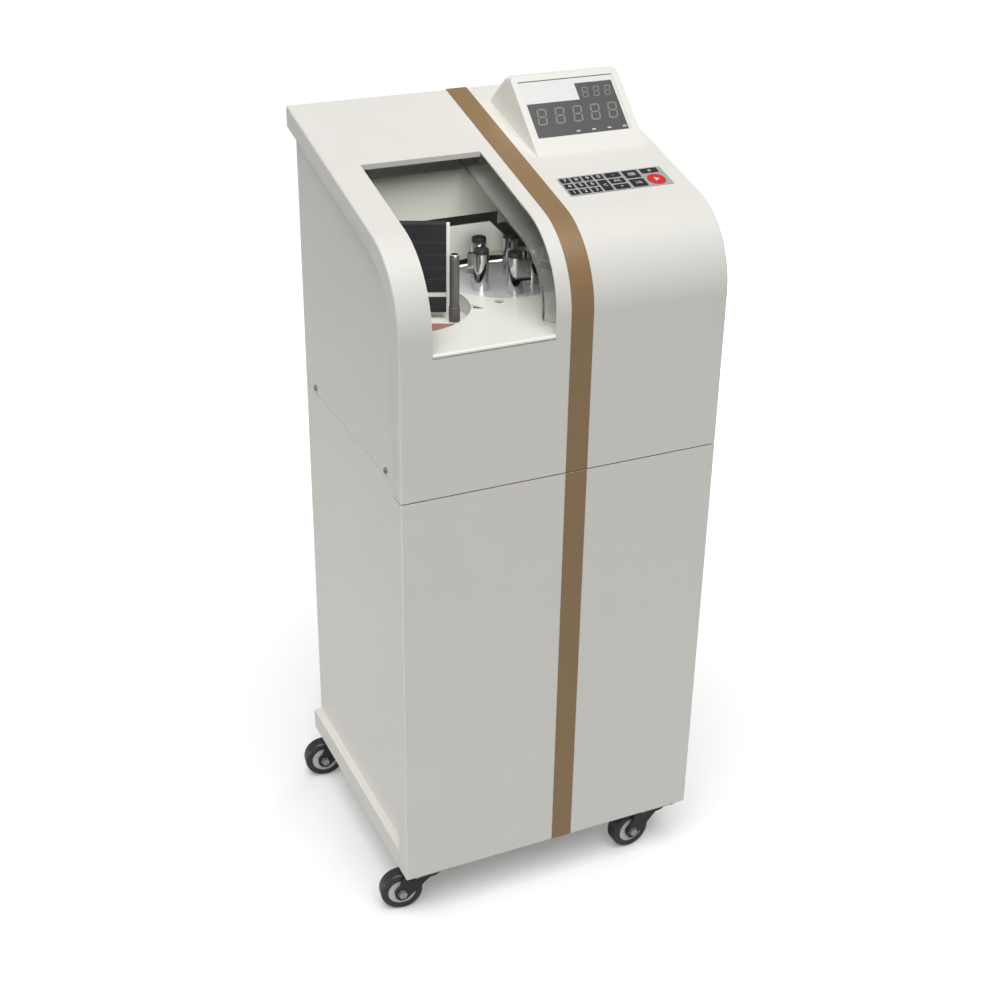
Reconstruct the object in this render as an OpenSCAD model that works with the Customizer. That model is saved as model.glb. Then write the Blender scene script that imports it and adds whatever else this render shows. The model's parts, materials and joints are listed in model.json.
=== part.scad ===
// Floor-standing vacuum note counter on casters.
// Origin: on the floor, under the middle of the cabinet. +X is the right hand side seen from
// the front, +Y points to the back, +Z points up. Inside cabinet() lengths are measured from
// the front face (Y) and from the underside of the plinth (Z).

/* [Cabinet] */
// Outside width of the cabinet
body_w = 400; // [390:1:440]
// Outside depth of the cabinet
body_d = 354; // [350:1:400]
// Height of the joint under the hood, above the plinth's underside
seam_h = 535; // [500:1:550]
// Open width of that joint
seam_gap = 1; // [0.6:0.1:1.5]
// Thickness of the steel sheet
sheet = 2; // [1.6:0.1:2.4]
// Outer radius of the front panel's folded edges
bend_r = 2; // [1:0.25:3]
// Width of the folded bands along the front and the top
band_w = 24.5; // [20:0.5:30]
// Distance of the side walls behind the folded bands
side_recess = 10.5; // [8:0.5:13]
// Height of the plinth
plinth_h = 28.5; // [24:0.5:34]
// Width of the plinth's inward lip
plinth_lip = 34; // [30:1:44]
// Height of the side walls' tongues above the joint
tongue_h = 25; // [16:1:35]
// Gap between pieces that are fitted side by side
fit_gap = 0.3; // [0.2:0.05:0.5]

/* [Hood] */
// Outer radius of the hood's front curve
hood_r = 100; // [95:1:105]
// Height of that curve's centre above the deck
hood_arc_rise = 18; // [10:1:30]
// Slope of the hood's top
hood_slope = 13.7; // [12:0.1:15]
// Left edge of the stripe
stripe_x = 1.7; // [0:0.1:8]
// Width of the stripe
stripe_w = 27.4; // [20:0.1:32]
// Thickness of the stripe film
stripe_t = 0.3; // [0.2:0.05:0.5]
// Height of the side screws above the joint
screw_h = 7; // [6:0.5:10]
// Distance of the front side screw from the front
screw_front = 72.5; // [60:0.5:90]
// Distance of the rear side screw from the back
screw_rear = 37.5; // [30:0.5:60]
// Radius of a side screw's head
screw_r = 3.6; // [3:0.1:4.5]

/* [Bay] */
// Left edge of the bay window
window_x = -162; // [-166:1:-155]
// Width of the bay window
window_w = 146; // [136:1:150]
// Distance of the window's upper edge behind the front
window_back = 209; // [195:1:215]
// Height of the lip that is turned down along that edge
window_lip = 6; // [4:0.5:8]
// Height of the deck's upper face
deck_h = 707; // [695:1:712]
// Radius of the deck's rolled front edge
deck_nose_r = 2.5; // [2:0.1:3.5]
// Depth of the deck
deck_d = 274; // [272:1:285]
// Height of the deck's rear wall
deck_wall_h = 39; // [30:1:44]
// Left end of the deck's rear wall
deck_wall_x = -70; // [-80:1:-60]
// Length of the level part of that wall's top
deck_wall_level = 96; // [80:1:105]
// Length of the sloping part of that wall's top
deck_wall_drop = 21; // [15:1:30]
// Distance of the bay's back wall behind the front
liner_y = 240; // [236:1:246]
// Height of the back wall's lower edge above the deck
liner_gap = 62; // [58:1:66]
// Left end of the back wall's deeper part
liner_step_x = 22; // [10:1:40]
// Height of that part's step
liner_step_h = 15; // [8:0.5:16]
// Right end of the back wall
liner_x1 = 112; // [104:1:125]
// Width of the back wall's feet
liner_foot = 20; // [14:1:22]
// Radius of the posts that carry the deck
deck_post_r = 6; // [4:0.5:8]

/* [Counting head] */
// Head centre, to the right of the cabinet's middle
head_x = 8; // [4:1:12]
// Head centre behind the front
head_y = 192; // [188:1:196]
// Radius of the head's disc
head_r = 72; // [68:1:74]
// Radius of the deck's cut-out round the head
head_hole_r = 74.5; // [74:0.5:78]
// Depth of the disc's face below the deck
head_drop = 10; // [8:0.5:12]
// Thickness of the disc
head_t = 10; // [8:0.5:10]
// Number of suction spindles
spindles = 5; // [3:1:5]
// Angle of the first spindle's place
spindle_angle = 268.2; // [240:0.1:300]
// Turn of the first spindle's suction block
block_turn = 0; // [-30:1:30]
// Radius of a spindle
spindle_r = 9; // [8:0.25:9.5]
// Height of a spindle above the disc
spindle_h = 50; // [46:1:52]
// Height of a spindle's cap
cap_h = 5; // [4:0.5:6]
// Radius of a spindle's lower shaft
shaft_r = 5; // [4:0.25:6]
// Reach of the suction block from the spindle's axis
block_reach = 17; // [13:0.5:17]
// Thickness of the suction block
block_t = 6; // [4:0.5:7]
// Height of the suction block
block_h = 25; // [20:1:28]
// Distance of the suction block below the cap
block_top = 3; // [2:0.5:6]
// Radius of a suction hole
suction_r = 1.1; // [0.8:0.1:1.4]
// Gear module
gear_m = 1; // [0.96:0.01:1.04]
// Teeth on the fixed sun gear
sun_teeth = 46; // [46:1:46]
// Teeth on each spindle pinion
pinion_teeth = 23; // [23:1:23]
// Width of the gears
gear_w = 8; // [6:0.5:9]
// Thinning of each tooth at the pitch circle
backlash = 0.16; // [0.12:0.01:0.2]
// Radius of the head's drive shaft
drive_r = 8; // [7:0.25:8.5]
// Running clearance of shafts in their bores
run_gap = 0.05; // [0.03:0.01:0.08]

/* [Note clamp] */
// Right edge of the note plate, to the right of the cabinet's middle
plate_x = -88; // [-92:1:-84]
// Right edge of the note plate behind the front
plate_y = 138; // [136:1:146]
// Turn of the note plate about the vertical
plate_turn = -22.3; // [-24:0.1:-20]
// Length of the note plate
plate_len = 94; // [80:1:98]
// Thickness of the note plate
plate_t = 12; // [9:0.5:14]
// Height of the note plate's top above the deck
plate_top = 92; // [80:1:94]
// Distance of the first groove below the note plate's top
rib_top = 21.5; // [16:0.5:26]
// Pitch of the note plate's ribs
rib_pitch = 15.2; // [13:0.1:18]
// Width of the grooves between ribs
rib_gap = 1.6; // [1.2:0.1:2.4]
// Depth of the grooves between ribs
rib_depth = 2.5; // [1.5:0.1:4]
// Height of the lower pad
low_pad_h = 18.5; // [14:0.5:20]
// Height of the light slot over the lower pad
slot_h = 5.5; // [4:0.5:7]
// Thickness of the note plate's back plate
back_t = 4; // [3:0.5:5]
// Distance of the back plate's top below the note plate's top
back_drop = 3; // [2:0.5:5]
// Clamp pivot, to the right of the cabinet's middle
clamp_x = -142; // [-144:1:-140]
// Clamp pivot behind the front
clamp_y = 142; // [140:1:144]
// Radius of the clamp's sector plate
clamp_r = 77.5; // [74:0.5:78]
// Radius of the deck's cut-out round the clamp
clamp_hole_r = 79; // [78.5:0.5:80]
// Depth of the sector plate's face below the deck
clamp_drop = 14; // [11:0.5:16]
// Thickness of the sector plate
clamp_t = 4; // [3:0.5:5]
// Angle of the sector's front edge
clamp_a0 = -88; // [-100:1:-80]
// Angle of the sector's rear edge
clamp_a1 = -20; // [-24:1:-19]
// Distance of the finger from the pivot
finger_reach = 60.9; // [56:0.1:64]
// Angle of the finger
finger_angle = -30.2; // [-34:0.1:-27]
// Radius of the finger
finger_r = 5; // [4:0.25:6]
// Height of the finger above the sector plate
finger_h = 80; // [70:1:84]
// Radius of the clamp's pivot pin
pivot_r = 5; // [4:0.25:6]

/* [Safety door] */
// Left edge of the door when it stands open
door_x = -12; // [-14:1:-10]
// Width of the door
door_w = 160; // [156:1:164]
// Thickness of the door
door_t = 3; // [2.5:0.1:3.5]
// Depth of the door below the hood's outer face
door_drop = 30; // [28:0.5:32]
// Distance of the door's upper edge behind the front
door_back = 262; // [258:1:265]
// Height of the door's lower edge above the deck
door_gap = 2; // [1:0.5:4]
// Radius of the door's lower corners
door_corner = 8; // [5:0.5:12]
// Radius of the guide rod
rod_r = 4; // [3:0.25:5]
// Width of a hanger block
hanger_w = 30; // [24:1:36]
// Length of a hanger block along the slope
hanger_len = 20; // [16:1:24]

/* [Console] */
// Left face of the display console
console_x = 45; // [40:1:50]
// Width of the console
console_w = 141; // [136:1:143]
// Foot of the console's face behind the front
console_front = 181.5; // [178:0.5:186]
// Back edge of the console behind the front
console_back = 318; // [310:1:325]
// Tilt of the console's face
console_tilt = 41.7; // [38:0.1:44]
// Tilt of the console's back
console_rear_tilt = 40; // [36:0.5:44]
// Radius of the console's ridge
ridge_r = 7; // [5:0.5:10]
// Radius of the console's side corners
console_corner = 6; // [4:0.5:9]
// Wall of the console
console_wall = 3; // [2.6:0.1:3.5]
// Left edge of the display label from the console's left face
label_x = 8; // [6:0.5:10]
// Lower edge of the display label above the foot, along the face
label_u = 24.5; // [20:0.5:26]
// Width of the display label
label_w = 123.5; // [120:0.5:124]
// Height of the display label
label_h = 77.5; // [72:0.5:80]
// Depth of the label's recess
label_recess = 1.4; // [1.2:0.1:1.6]
// Thickness of the label and the filter
label_t = 1; // [0.8:0.1:1.2]
// Left and lower margin of the filter in the label
filter_margin = 1.5; // [1:0.1:2]
// Width of the filter's long strip
filter_w = 118.5; // [115:0.5:119]
// Height of the filter's long strip
filter_h = 46; // [42:0.5:48]
// Width of the filter's upper block
filter_block_w = 49; // [46:0.5:52]
// Height of the filter's upper block
filter_block_h = 22.5; // [20:0.5:24]
// Height of a large digit
digit_h = 22; // [18:0.5:24]
// Pitch of the large digits
digit_pitch = 23.2; // [20:0.1:23.5]
// Height of a small digit
small_h = 14; // [11:0.5:15]
// Pitch of the small digits
small_pitch = 14.9; // [12:0.1:15]

/* [Keypad] */
// Left edge of the keypad
keypad_x = 45; // [40:1:50]
// Middle of the keypad behind the front
keypad_y = 115; // [112:1:120]
// Width of the keypad
keypad_w = 132.5; // [131:0.5:136]
// Height of the keypad
keypad_h = 38.8; // [38.4:0.2:41]
// Thickness of the keypad's rim above the hood
keypad_rim = 0.8; // [0.6:0.1:1.2]
// Depth of the keypad's body below the hood's face
keypad_deep = 3.4; // [3.2:0.1:4]
// Margin between the keypad's edge and the keys
key_margin = 2; // [1.8:0.1:2.4]
// Height of a single key
key_h = 9.6; // [9:0.1:9.8]
// Pitch of the key rows
key_row = 12.6; // [12.4:0.1:12.8]
// Width of a number key
key_w = 11.2; // [10:0.1:11.6]
// Pitch of the number keys
key_pitch = 14.2; // [13.8:0.1:14.4]
// Width of the keys in the fifth and sixth columns
wide_key_w = 18.6; // [17:0.1:19]
// Width of the last column's key
last_key_w = 21.8; // [20:0.1:22]
// Radius of the round key
round_key_r = 10.9; // [10:0.1:11.2]
// Height of a key above the rim
key_proud = 0.4; // [0.2:0.1:0.6]
// Travel of a key
key_travel = 0.6; // [0.4:0.1:0.8]

/* [Drive and vacuum] */
// Distance of the mechanism plate's upper face below the deck
frame_drop = 47; // [43:1:50]
// Thickness of the mechanism plate
frame_t = 4; // [3:0.5:5]
// Leg width of the frame's angle uprights
angle_w = 30; // [25:1:32]
// Side of the square gearbox
gearbox_w = 84; // [76:1:90]
// Height of the gearbox
gearbox_h = 48; // [40:1:56]
// Radius of the motor
motor_r = 30; // [26:1:33]
// Length of the motor
motor_h = 90; // [80:1:110]
// Radius of the pump's barrel
pump_r = 52; // [46:1:56]
// Length of the pump's barrel
pump_len = 180; // [160:1:200]
// Radius of the pump's cooling fins
fin_r = 60; // [58:1:64]
// Number of cooling fins
fins = 7; // [5:1:9]
// Thickness of a cooling fin
fin_t = 4; // [3:0.5:5]
// Distance of the outer fins from the barrel's ends
fin_edge = 20; // [15:1:30]
// Length of the bells at the barrel's ends
bell_len = 12; // [8:1:16]
// Step between the barrel and its bells
bell_step = 10; // [6:1:14]
// Height of the pump's feet
foot_h = 14; // [10:1:20]
// Length of a foot along the barrel
foot_len = 30; // [20:1:40]
// Outer radius of the vacuum hose
hose_r = 9; // [8:0.5:11]
// Bore radius of the vacuum hose
hose_bore = 6; // [5:0.5:6.5]

/* [Rear panel] */
// Height of the lowest rear screws
rear_screw_low = 80; // [60:1:120]
// Distance of the highest rear screws below the joint
rear_screw_top = 45; // [30:1:80]
// Width of a vent slot
vent_w = 110; // [90:1:130]
// Height of a vent slot
vent_h = 5; // [4.5:0.5:7]
// Pitch of the vent slots
vent_pitch = 14; // [12:0.5:18]
// Number of slots in a vent group
vents = 8; // [5:1:10]
// Height of the lower vent group
vent_low = 110; // [90:1:140]
// Height of the upper vent group
vent_high = 560; // [545:1:600]
// Power inlet, to the right of the cabinet's middle
inlet_x = -110; // [-130:1:-95]
// Height of the power inlet's middle
inlet_h = 150; // [130:1:200]
// Width of the inlet module
inlet_w = 48; // [44:1:54]
// Height of the inlet module
inlet_len = 66; // [64:1:74]
// Depth of the inlet module behind the rear panel
inlet_deep = 26; // [24:1:34]
// Width of the plug recess
plug_w = 25; // [24:0.5:27]
// Height of the plug recess
plug_h = 17; // [16:0.5:18]
// Width of the rocker
rocker_w = 19; // [16:0.5:21]
// Height of the rocker
rocker_h = 24; // [21:0.5:25]
// Rocker tilt at rest
rocker_tilt = 8; // [5:0.5:10]

/* [Casters] */
// Overall height of a caster
caster_h = 65; // [63:1:70]
// Distance of the swivels from the cabinet's sides
caster_side = 37.5; // [35:0.5:45]
// Distance of the swivels from the cabinet's front and back
caster_end = 27; // [25.5:0.5:40]
// Radius of a wheel
wheel_r = 27; // [24:0.5:27.5]
// Width of a wheel
wheel_w = 20; // [17:0.5:22]
// Distance of the axle behind the swivel
trail = 34; // [30:0.5:35]
// Radius of an axle
axle_r = 4; // [3:0.25:4.5]
// Thickness of a fork leg
leg_t = 2.5; // [2:0.1:3]
// Gap between a wheel and its fork
wheel_gap = 1.5; // [1:0.1:2]
// Radius of the fork's crown
crown_r = 21; // [20:0.5:23]
// Radius of the swivel's king pin
king_r = 5; // [4:0.25:6]
// Width of a caster's top plate
caster_plate_w = 54; // [48:1:60]
// Length of a caster's top plate
caster_plate_l = 50; // [46:1:50]
// Turn of the front left caster
turn_fl = 171; // [0:1:359]
// Turn of the front right caster
turn_fr = 185; // [0:1:359]
// Turn of the rear left caster
turn_rl = 172; // [0:1:359]
// Turn of the rear right caster
turn_rr = 178; // [0:1:359]

/* [Hidden] */
$fn = 64;
cut = 1;
half_w = body_w / 2;
side_out = half_w - side_recess;
side_in = side_out - sheet;
tray_front = band_w + fit_gap;
low_top = seam_h - seam_gap / 2;
hood_low = seam_h + seam_gap / 2;
tongue_in = side_in - sheet;
tongue_end = 20;
panel_in = tongue_in - 12;
thread_r = 2;
screw_head = 2.2;
screw_len = 9;
screw_places = [screw_front, body_d - screw_rear];
rear_rows = [rear_screw_low, (rear_screw_low + seam_h - rear_screw_top) / 2, seam_h - rear_screw_top];
rear_screws = [for (x = [-1, 1], z = rear_rows) [x * (tongue_in - angle_w / 2), z]];
angle_t = 3;
hood_arc_h = deck_h + hood_arc_rise;
frame_h = deck_h - frame_drop;
frame_under = frame_h - frame_t;

// Height of the hood's sloping face, set in by a distance, at a place behind the front
function slope_h(y, inset = 0) =
    hood_arc_h + (hood_r - inset + (y - hood_r) * sin(hood_slope)) / cos(hood_slope);
// Point on the front curve's end, where the slope begins
function slope_start(inset) =
    [hood_r - (hood_r - inset) * sin(hood_slope), hood_arc_h + (hood_r - inset) * cos(hood_slope)];

window_x1 = window_x + window_w;
deck_under = deck_h - sheet;
liner_low = deck_h + liner_gap;
door_in = door_drop + door_t;
liner_clear = 1.5;
nose_proud = 0.5;
nose_h = deck_h - deck_nose_r + 0.5;
sensor_hole = [-32, 116];
sensor_r = 5;
slot_place = [-66, 113];
slot_turn = -50;
slot_len = 28;
slot_wide = 8;
deck_posts = [[-165, 45], [-20, 60], [130, 60], [-165, 250], [-60, 255], [130, 250]];
back_edge = 4;
liner_top = slope_h(liner_y, door_in) - liner_clear;

head_top = deck_h - head_drop;
head_under = head_top - head_t;
gear_clear = 3.5;
gear_top = head_under - gear_clear;
gear_low = gear_top - gear_w;
collar_r = drive_r + 4;
sun_pitch = gear_m * sun_teeth / 2;
pinion_pitch = gear_m * pinion_teeth / 2;
spindle_place = sun_pitch + pinion_pitch;
carrier_ratio = 1 + sun_teeth / pinion_teeth;
boss_r = drive_r + 6;
sun_bore = drive_r + 1;
pressure_angle = 20;
addendum = 0.92;
dedendum = 1.25;
shaft_drop = 62;

clamp_top = deck_h - clamp_drop;
clamp_under = clamp_top - clamp_t;
hub_r = pivot_r + 5;
hub_h = 12;
pad_low = clamp_top + cut;
slot_low = pad_low + low_pad_h;
pad_high = slot_low + slot_h;
plate_z1 = deck_h + plate_top;

rod_y = door_back - hanger_len / 2 - door_in * sin(hood_slope);
rod_drop = door_drop - 7;
hanger_top = rod_drop - rod_r - 4;
hanger_edge = 10;
rod_flange_t = 3;

console_foot = [console_front, slope_h(console_front)];
console_heel = [console_back, slope_h(console_back)];
face_n = [-sin(console_tilt), cos(console_tilt)];
face_u = [cos(console_tilt), sin(console_tilt)];
rear_n = [sin(console_rear_tilt), cos(console_rear_tilt)];
// Centre of the ridge, one radius inside both the face and the back
ridge_face = console_foot * face_n - ridge_r;
ridge_rear = console_heel * rear_n - ridge_r;
ridge_det = face_n[0] * rear_n[1] - face_n[1] * rear_n[0];
ridge = [
    (ridge_face * rear_n[1] - face_n[1] * ridge_rear) / ridge_det,
    (face_n[0] * ridge_rear - ridge_face * rear_n[0]) / ridge_det
];
console_x1 = console_x + console_w;
label_x0 = console_x + label_x;
filter_x0 = label_x0 + filter_margin;
filter_u0 = label_u + filter_margin / 2;
filter_ledge = 2.5;
console_sill = 22;
board_t = 1.6;
bar_t = 0.2;
big_digits = 5;
small_digits = 3;
segment_w = 2.4;
bar_gap = 0.5;
digit_shape = 0.56;
digit_slant = 11;
digit_front = label_recess + 0.4;
board_front = digit_front + 7;
board_x = [label_x0, label_x0 + label_w];
board_u = [label_u + 4, label_u + label_h - 8];
board_edge = 4;
board_post_r = 2.5;
digit_x = filter_x0 + 13.8;
digit_u = filter_u0 + 27.6;
small_x = filter_x0 + filter_w - filter_block_w + 10;
small_u = filter_u0 + filter_h + 9.3;
lamps = 4;
lamp_pitch = 20.4;
lamp_edge = 4.2;
lamp_x = filter_x0 + filter_w - lamp_edge - (lamps - 1) * lamp_pitch;
lamp_u = filter_u0 + filter_ledge + 0.6;
lamp_w = 5;
lamp_h = 2.4;

key_well = keypad_deep - 1;
keypad_lip = 0.9;
keypad_edge = keypad_lip - fit_gap;
key_corner = 1.2;
rows_h = keypad_h - 2 * key_margin;
tall_key_h = key_row + key_h;
half_key_h = (rows_h - (key_row - key_h)) / 2;
wide_col = keypad_x + key_margin + 4 * key_pitch + 0.2;
wide_pitch = wide_key_w + 4.4;
last_col = wide_col + 2 * wide_pitch;

// Each key: name, left edge, lower edge above the keypad's lower edge, width, height
function number_key(name, col, row) =
    [name, keypad_x + key_margin + col * key_pitch, key_margin + row * key_row, key_w, key_h];
KEYS = [
    number_key("key_1", 0, 0), number_key("key_2", 1, 0), number_key("key_3", 2, 0),
    number_key("key_4", 0, 1), number_key("key_5", 1, 1), number_key("key_6", 2, 1),
    number_key("key_7", 0, 2), number_key("key_8", 1, 2), number_key("key_9", 2, 2),
    number_key("key_0", 3, 2),
    ["key_tall", keypad_x + key_margin + 3 * key_pitch, key_margin, key_w, tall_key_h],
    for (row = [0:2])
        [str("key_function_", row + 1), wide_col, key_margin + row * key_row, wide_key_w, key_h],
    ["key_mode_1", wide_col + wide_pitch, key_margin, wide_key_w, half_key_h],
    ["key_mode_2", wide_col + wide_pitch, keypad_h - key_margin - half_key_h, wide_key_w, half_key_h],
    ["key_batch", last_col, key_margin + 2 * key_row, last_key_w, key_h]
];
ROUND_KEY = "key_start";
round_key_x = last_col + last_key_w / 2;
round_key_v = key_margin + round_key_r;

vent_x = 75;
inlet_rim = 2.5;
inlet_in_w = inlet_w - 8;
inlet_in_h = inlet_len - 8;
plug_deep = 20;
pin_depth = 6;
plug_z = -inlet_in_h / 2 + 2 + plug_h / 2;
rocker_well_w = rocker_w + 2 * fit_gap;
rocker_well_h = rocker_h + 1;
rocker_z = inlet_in_h / 2 - 2 - rocker_well_h / 2;
rocker_y = inlet_rim - 4;
rocker_hub = 4;
rocker_pin_r = 1.5;

union_w = 24;
hose_x = head_x + gearbox_w / 2 + union_w / 2;
pump_x = head_x;
port_h = sheet + foot_h + fin_r + pump_r + 20;
hose_h = frame_under - gearbox_h - port_h;
clip_h = 8;

caster_x = half_w - caster_side;
caster_y = body_d / 2 - caster_end;
// Each caster: name, swivel place, turn of the trail
CASTERS = [
    ["fl", -caster_x, -caster_y, turn_fl],
    ["fr", caster_x, -caster_y, turn_fr],
    ["rl", -caster_x, caster_y, turn_rl],
    ["rr", caster_x, caster_y, turn_rr]
];
plate_thick = 3;
race_h = 3;
swivel_gap = 0.4;
crown_top = caster_h - plate_thick - race_h - swivel_gap;
crown_t = 4;
rivet_t = 3;
rivet_low = crown_top - crown_t - swivel_gap - rivet_t;

paint = "#e6e4dd";
bronze = "#a07a4a";

// Frames and shared shapes

module cabinet() {
    translate([0, -body_d / 2, caster_h]) children();
}

// Extrudes an outline drawn as depth and height, from one side to the other
module across(x0, x1) {
    translate([x0, 0, 0]) rotate([90, 0, 90]) linear_extrude(x1 - x0) children();
}

// Frame on the hood's sloping face: Y up the slope, Z out of it
module on_slope(y) {
    translate([0, y, slope_h(y)]) rotate([hood_slope, 0, 0]) children();
}

// Frame on the console's face: Y up the face, Z out of it
module on_face() {
    translate([0, console_foot[0], console_foot[1]]) rotate([console_tilt, 0, 0]) children();
}

module block(x0, x1, y0, y1, z0, z1) {
    translate([x0, y0, z0]) cube([x1 - x0, y1 - y0, z1 - z0]);
}

// Rectangle with round corners on all four sides
module round_rect(w, h, r) {
    translate([r, 0]) square([w - 2 * r, h]);
    translate([0, r]) square([w, h - 2 * r]);
    for (x = [r, w - r], y = [r, h - r]) translate([x, y]) circle(r);
}

// Strip with round front edges, as deep as a folded band
module folded_outline(w, d, r) {
    translate([-w / 2, r]) square([w, d - r]);
    translate([-w / 2 + r, 0]) square([w - 2 * r, d]);
    for (x = [-w / 2 + r, w / 2 - r]) translate([x, r]) circle(r);
}

// Section of a sheet with a band folded back and then in again at either side
module folded_section(inner) {
    difference() {
        folded_outline(body_w, band_w, bend_r);
        translate([sheet - half_w, sheet]) square([body_w - 2 * sheet, band_w - 2 * sheet]);
        translate([-inner, band_w - 2 * sheet]) square([2 * inner, 2 * sheet + cut]);
    }
}

// Side view of the hood, set in from its outer face
module hood_outline(inset, low, back) {
    translate([inset, low]) square([back - inset, hood_arc_h - low]);
    translate([hood_r, hood_arc_h]) circle(hood_r - inset);
    polygon([
        [hood_r, hood_arc_h],
        slope_start(inset),
        [back, slope_h(back, inset)],
        [back, hood_arc_h]
    ]);
}

// Side view of a sheet that follows the hood, between two distances from its outer face
module hood_sheet(inset0, inset1, low, back) {
    difference() {
        hood_outline(inset0, low, back);
        hood_outline(inset1, low - cut, back + cut);
    }
}

// Involute angle at a radius, and half the angle that a tooth takes up there
function involute(base, r) = tan(acos(base / r)) * 180 / PI - acos(base / r);
function half_tooth(teeth, base, r) =
    90 / teeth - backlash / (gear_m * teeth) * 180 / PI
    + involute(base, base / cos(pressure_angle)) - involute(base, max(r, base));

// Spur gear with involute flanks and one tooth on +X
module gear_outline(teeth) {
    pitch = gear_m * teeth / 2;
    base = pitch * cos(pressure_angle);
    tip = pitch + addendum * gear_m;
    root = pitch - dedendum * gear_m;
    radii = [root, base, pitch, tip];
    flank = [for (r = radii) [r, half_tooth(teeth, base, r)]];
    polygon([
        for (i = [0:teeth - 1], side = [-1, 1], j = side < 0 ? [0:3] : [3:-1:0])
            let (a = 360 * i / teeth + side * flank[j][1])
            flank[j][0] * [cos(a), sin(a)]
    ]);
}

// Cabinet sheets

module base_tray() {
    color(paint) cabinet() {
        difference() {
            block(-half_w, half_w, tray_front, body_d, 0, plinth_h);
            block(-half_w + sheet, half_w - sheet, tray_front + sheet, body_d - sheet,
                sheet, plinth_h - sheet);
            block(-half_w + plinth_lip, half_w - plinth_lip, tray_front + plinth_lip, body_d - plinth_lip,
                sheet, plinth_h + cut);
        }
        block(-panel_in + fit_gap, panel_in - fit_gap, sheet + fit_gap, tray_front + sheet, 0, sheet);
    }
}

module front_panel() {
    color(paint) cabinet() {
        linear_extrude(low_top) folded_section(panel_in);
        block(-half_w + sheet / 2, half_w - sheet / 2, sheet / 2, band_w - sheet, low_top - sheet, low_top);
        for (x = [-half_w + sheet / 2, panel_in]) {
            block(x, x + half_w - sheet / 2 - panel_in, sheet / 2, band_w - sheet / 2, 0, sheet);
        }
    }
}

// Wall on the right; the tongue inside it reaches up behind the hood's wall
module side_panel() {
    difference() {
        union() {
            block(side_in, side_out, tray_front, body_d, plinth_h, low_top);
            block(tongue_in, side_in, screw_front - tongue_end, body_d - screw_rear + tongue_end,
                seam_h - tongue_h, seam_h + tongue_h);
        }
        for (y = screw_places) {
            translate([tongue_in - cut, y, seam_h + screw_h]) rotate([0, 90, 0])
                cylinder(r = thread_r, h = sheet + 2 * cut);
        }
    }
}

module left_side_panel() {
    color(paint) cabinet() mirror([1, 0, 0]) side_panel();
}

module right_side_panel() {
    color(paint) cabinet() side_panel();
}

module rear_panel() {
    x = side_in - fit_gap;
    color(paint) cabinet() difference() {
        block(-x, x, body_d - sheet, body_d, plinth_h, slope_h(body_d - sheet, sheet) - fit_gap);
        for (place = [[vent_x, vent_low], [vent_x, vent_high], [-vent_x, vent_high]], i = [0:vents - 1]) {
            translate([place[0] - vent_w / 2, body_d + cut, place[1] + i * vent_pitch]) rotate([90, 0, 0])
                linear_extrude(sheet + 2 * cut) round_rect(vent_w, vent_h, vent_h / 2 - 0.1);
        }
        translate([inlet_x, 0, inlet_h])
            block(-inlet_in_w / 2 - fit_gap, inlet_in_w / 2 + fit_gap, body_d - sheet - cut, body_d + cut,
                -inlet_in_h / 2 - fit_gap, inlet_in_h / 2 + fit_gap);
        for (p = rear_screws) {
            translate([p[0], body_d + cut, p[1]]) rotate([90, 0, 0])
                cylinder(r = thread_r, h = sheet + 2 * cut);
        }
    }
}

module hood() {
    channel = half_w - sheet;
    color(paint) cabinet() difference() {
        union() {
            difference() {
                across(-half_w, half_w) hood_sheet(0, band_w, hood_low, body_d, $fn = 160);
                across(-channel, channel) hood_sheet(sheet, band_w - sheet, hood_low - cut, body_d - sheet);
                across(-side_in, side_in) hood_sheet(sheet, band_w + cut, hood_low - cut, body_d + cut);
            }
            for (side = [-side_out, side_in]) {
                across(side, side + sheet) hood_outline(band_w - sheet / 2, hood_low, body_d);
            }
            across(window_x, window_x1) polygon([
                [window_back, slope_h(window_back) - window_lip],
                [window_back + sheet, slope_h(window_back) - window_lip],
                [window_back + sheet, slope_h(window_back) - sheet / 2],
                [window_back, slope_h(window_back) - sheet / 2]
            ]);
        }
        block(window_x, window_x1, -cut, window_back, nose_h - deck_nose_r - fit_gap, 2 * seam_h);
        on_slope(keypad_y) translate([keypad_x + keypad_w / 2, 0, -sheet / 2])
            cube([keypad_w - 2 * keypad_edge, keypad_h - 2 * keypad_edge, sheet + 2 * cut], center = true);
        block(console_x + 2 * console_wall, console_x1 - 2 * console_wall, console_front + console_sill,
            console_back - console_sill, seam_h, 2 * seam_h);
        for (side = [-1, 1], y = screw_places) {
            translate([side * side_out, y, seam_h + screw_h]) rotate([0, 90, 0])
                cylinder(r = thread_r, h = 2 * sheet + 2 * cut, center = true);
        }
    }
}

module stripes() {
    color(bronze) cabinet() {
        block(stripe_x, stripe_x + stripe_w, -stripe_t, 0, 0, low_top);
        across(stripe_x, stripe_x + stripe_w) hood_sheet(-stripe_t, 0, hood_low, body_d, $fn = 160);
    }
}

// Pan head screw along Z, with its head's seat at zero and a cross recess
module pan_screw() {
    difference() {
        union() {
            cylinder(r = screw_r, h = screw_head);
            translate([0, 0, -screw_len]) cylinder(r = thread_r, h = screw_len + screw_head / 2);
        }
        for (a = [0, 90]) rotate(a)
            translate([-screw_r * 0.6, -0.4, screw_head - 1]) cube([screw_r * 1.2, 0.8, 2]);
    }
}

module case_screws() {
    color("silver") cabinet() {
        for (side = [-1, 1], y = screw_places) {
            translate([side * side_out, y, seam_h + screw_h]) rotate([0, 90 * side, 0]) pan_screw();
        }
        for (p = rear_screws) {
            translate([p[0], body_d, p[1]]) rotate([-90, 0, 0]) pan_screw();
        }
    }
}

// Display console

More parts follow.
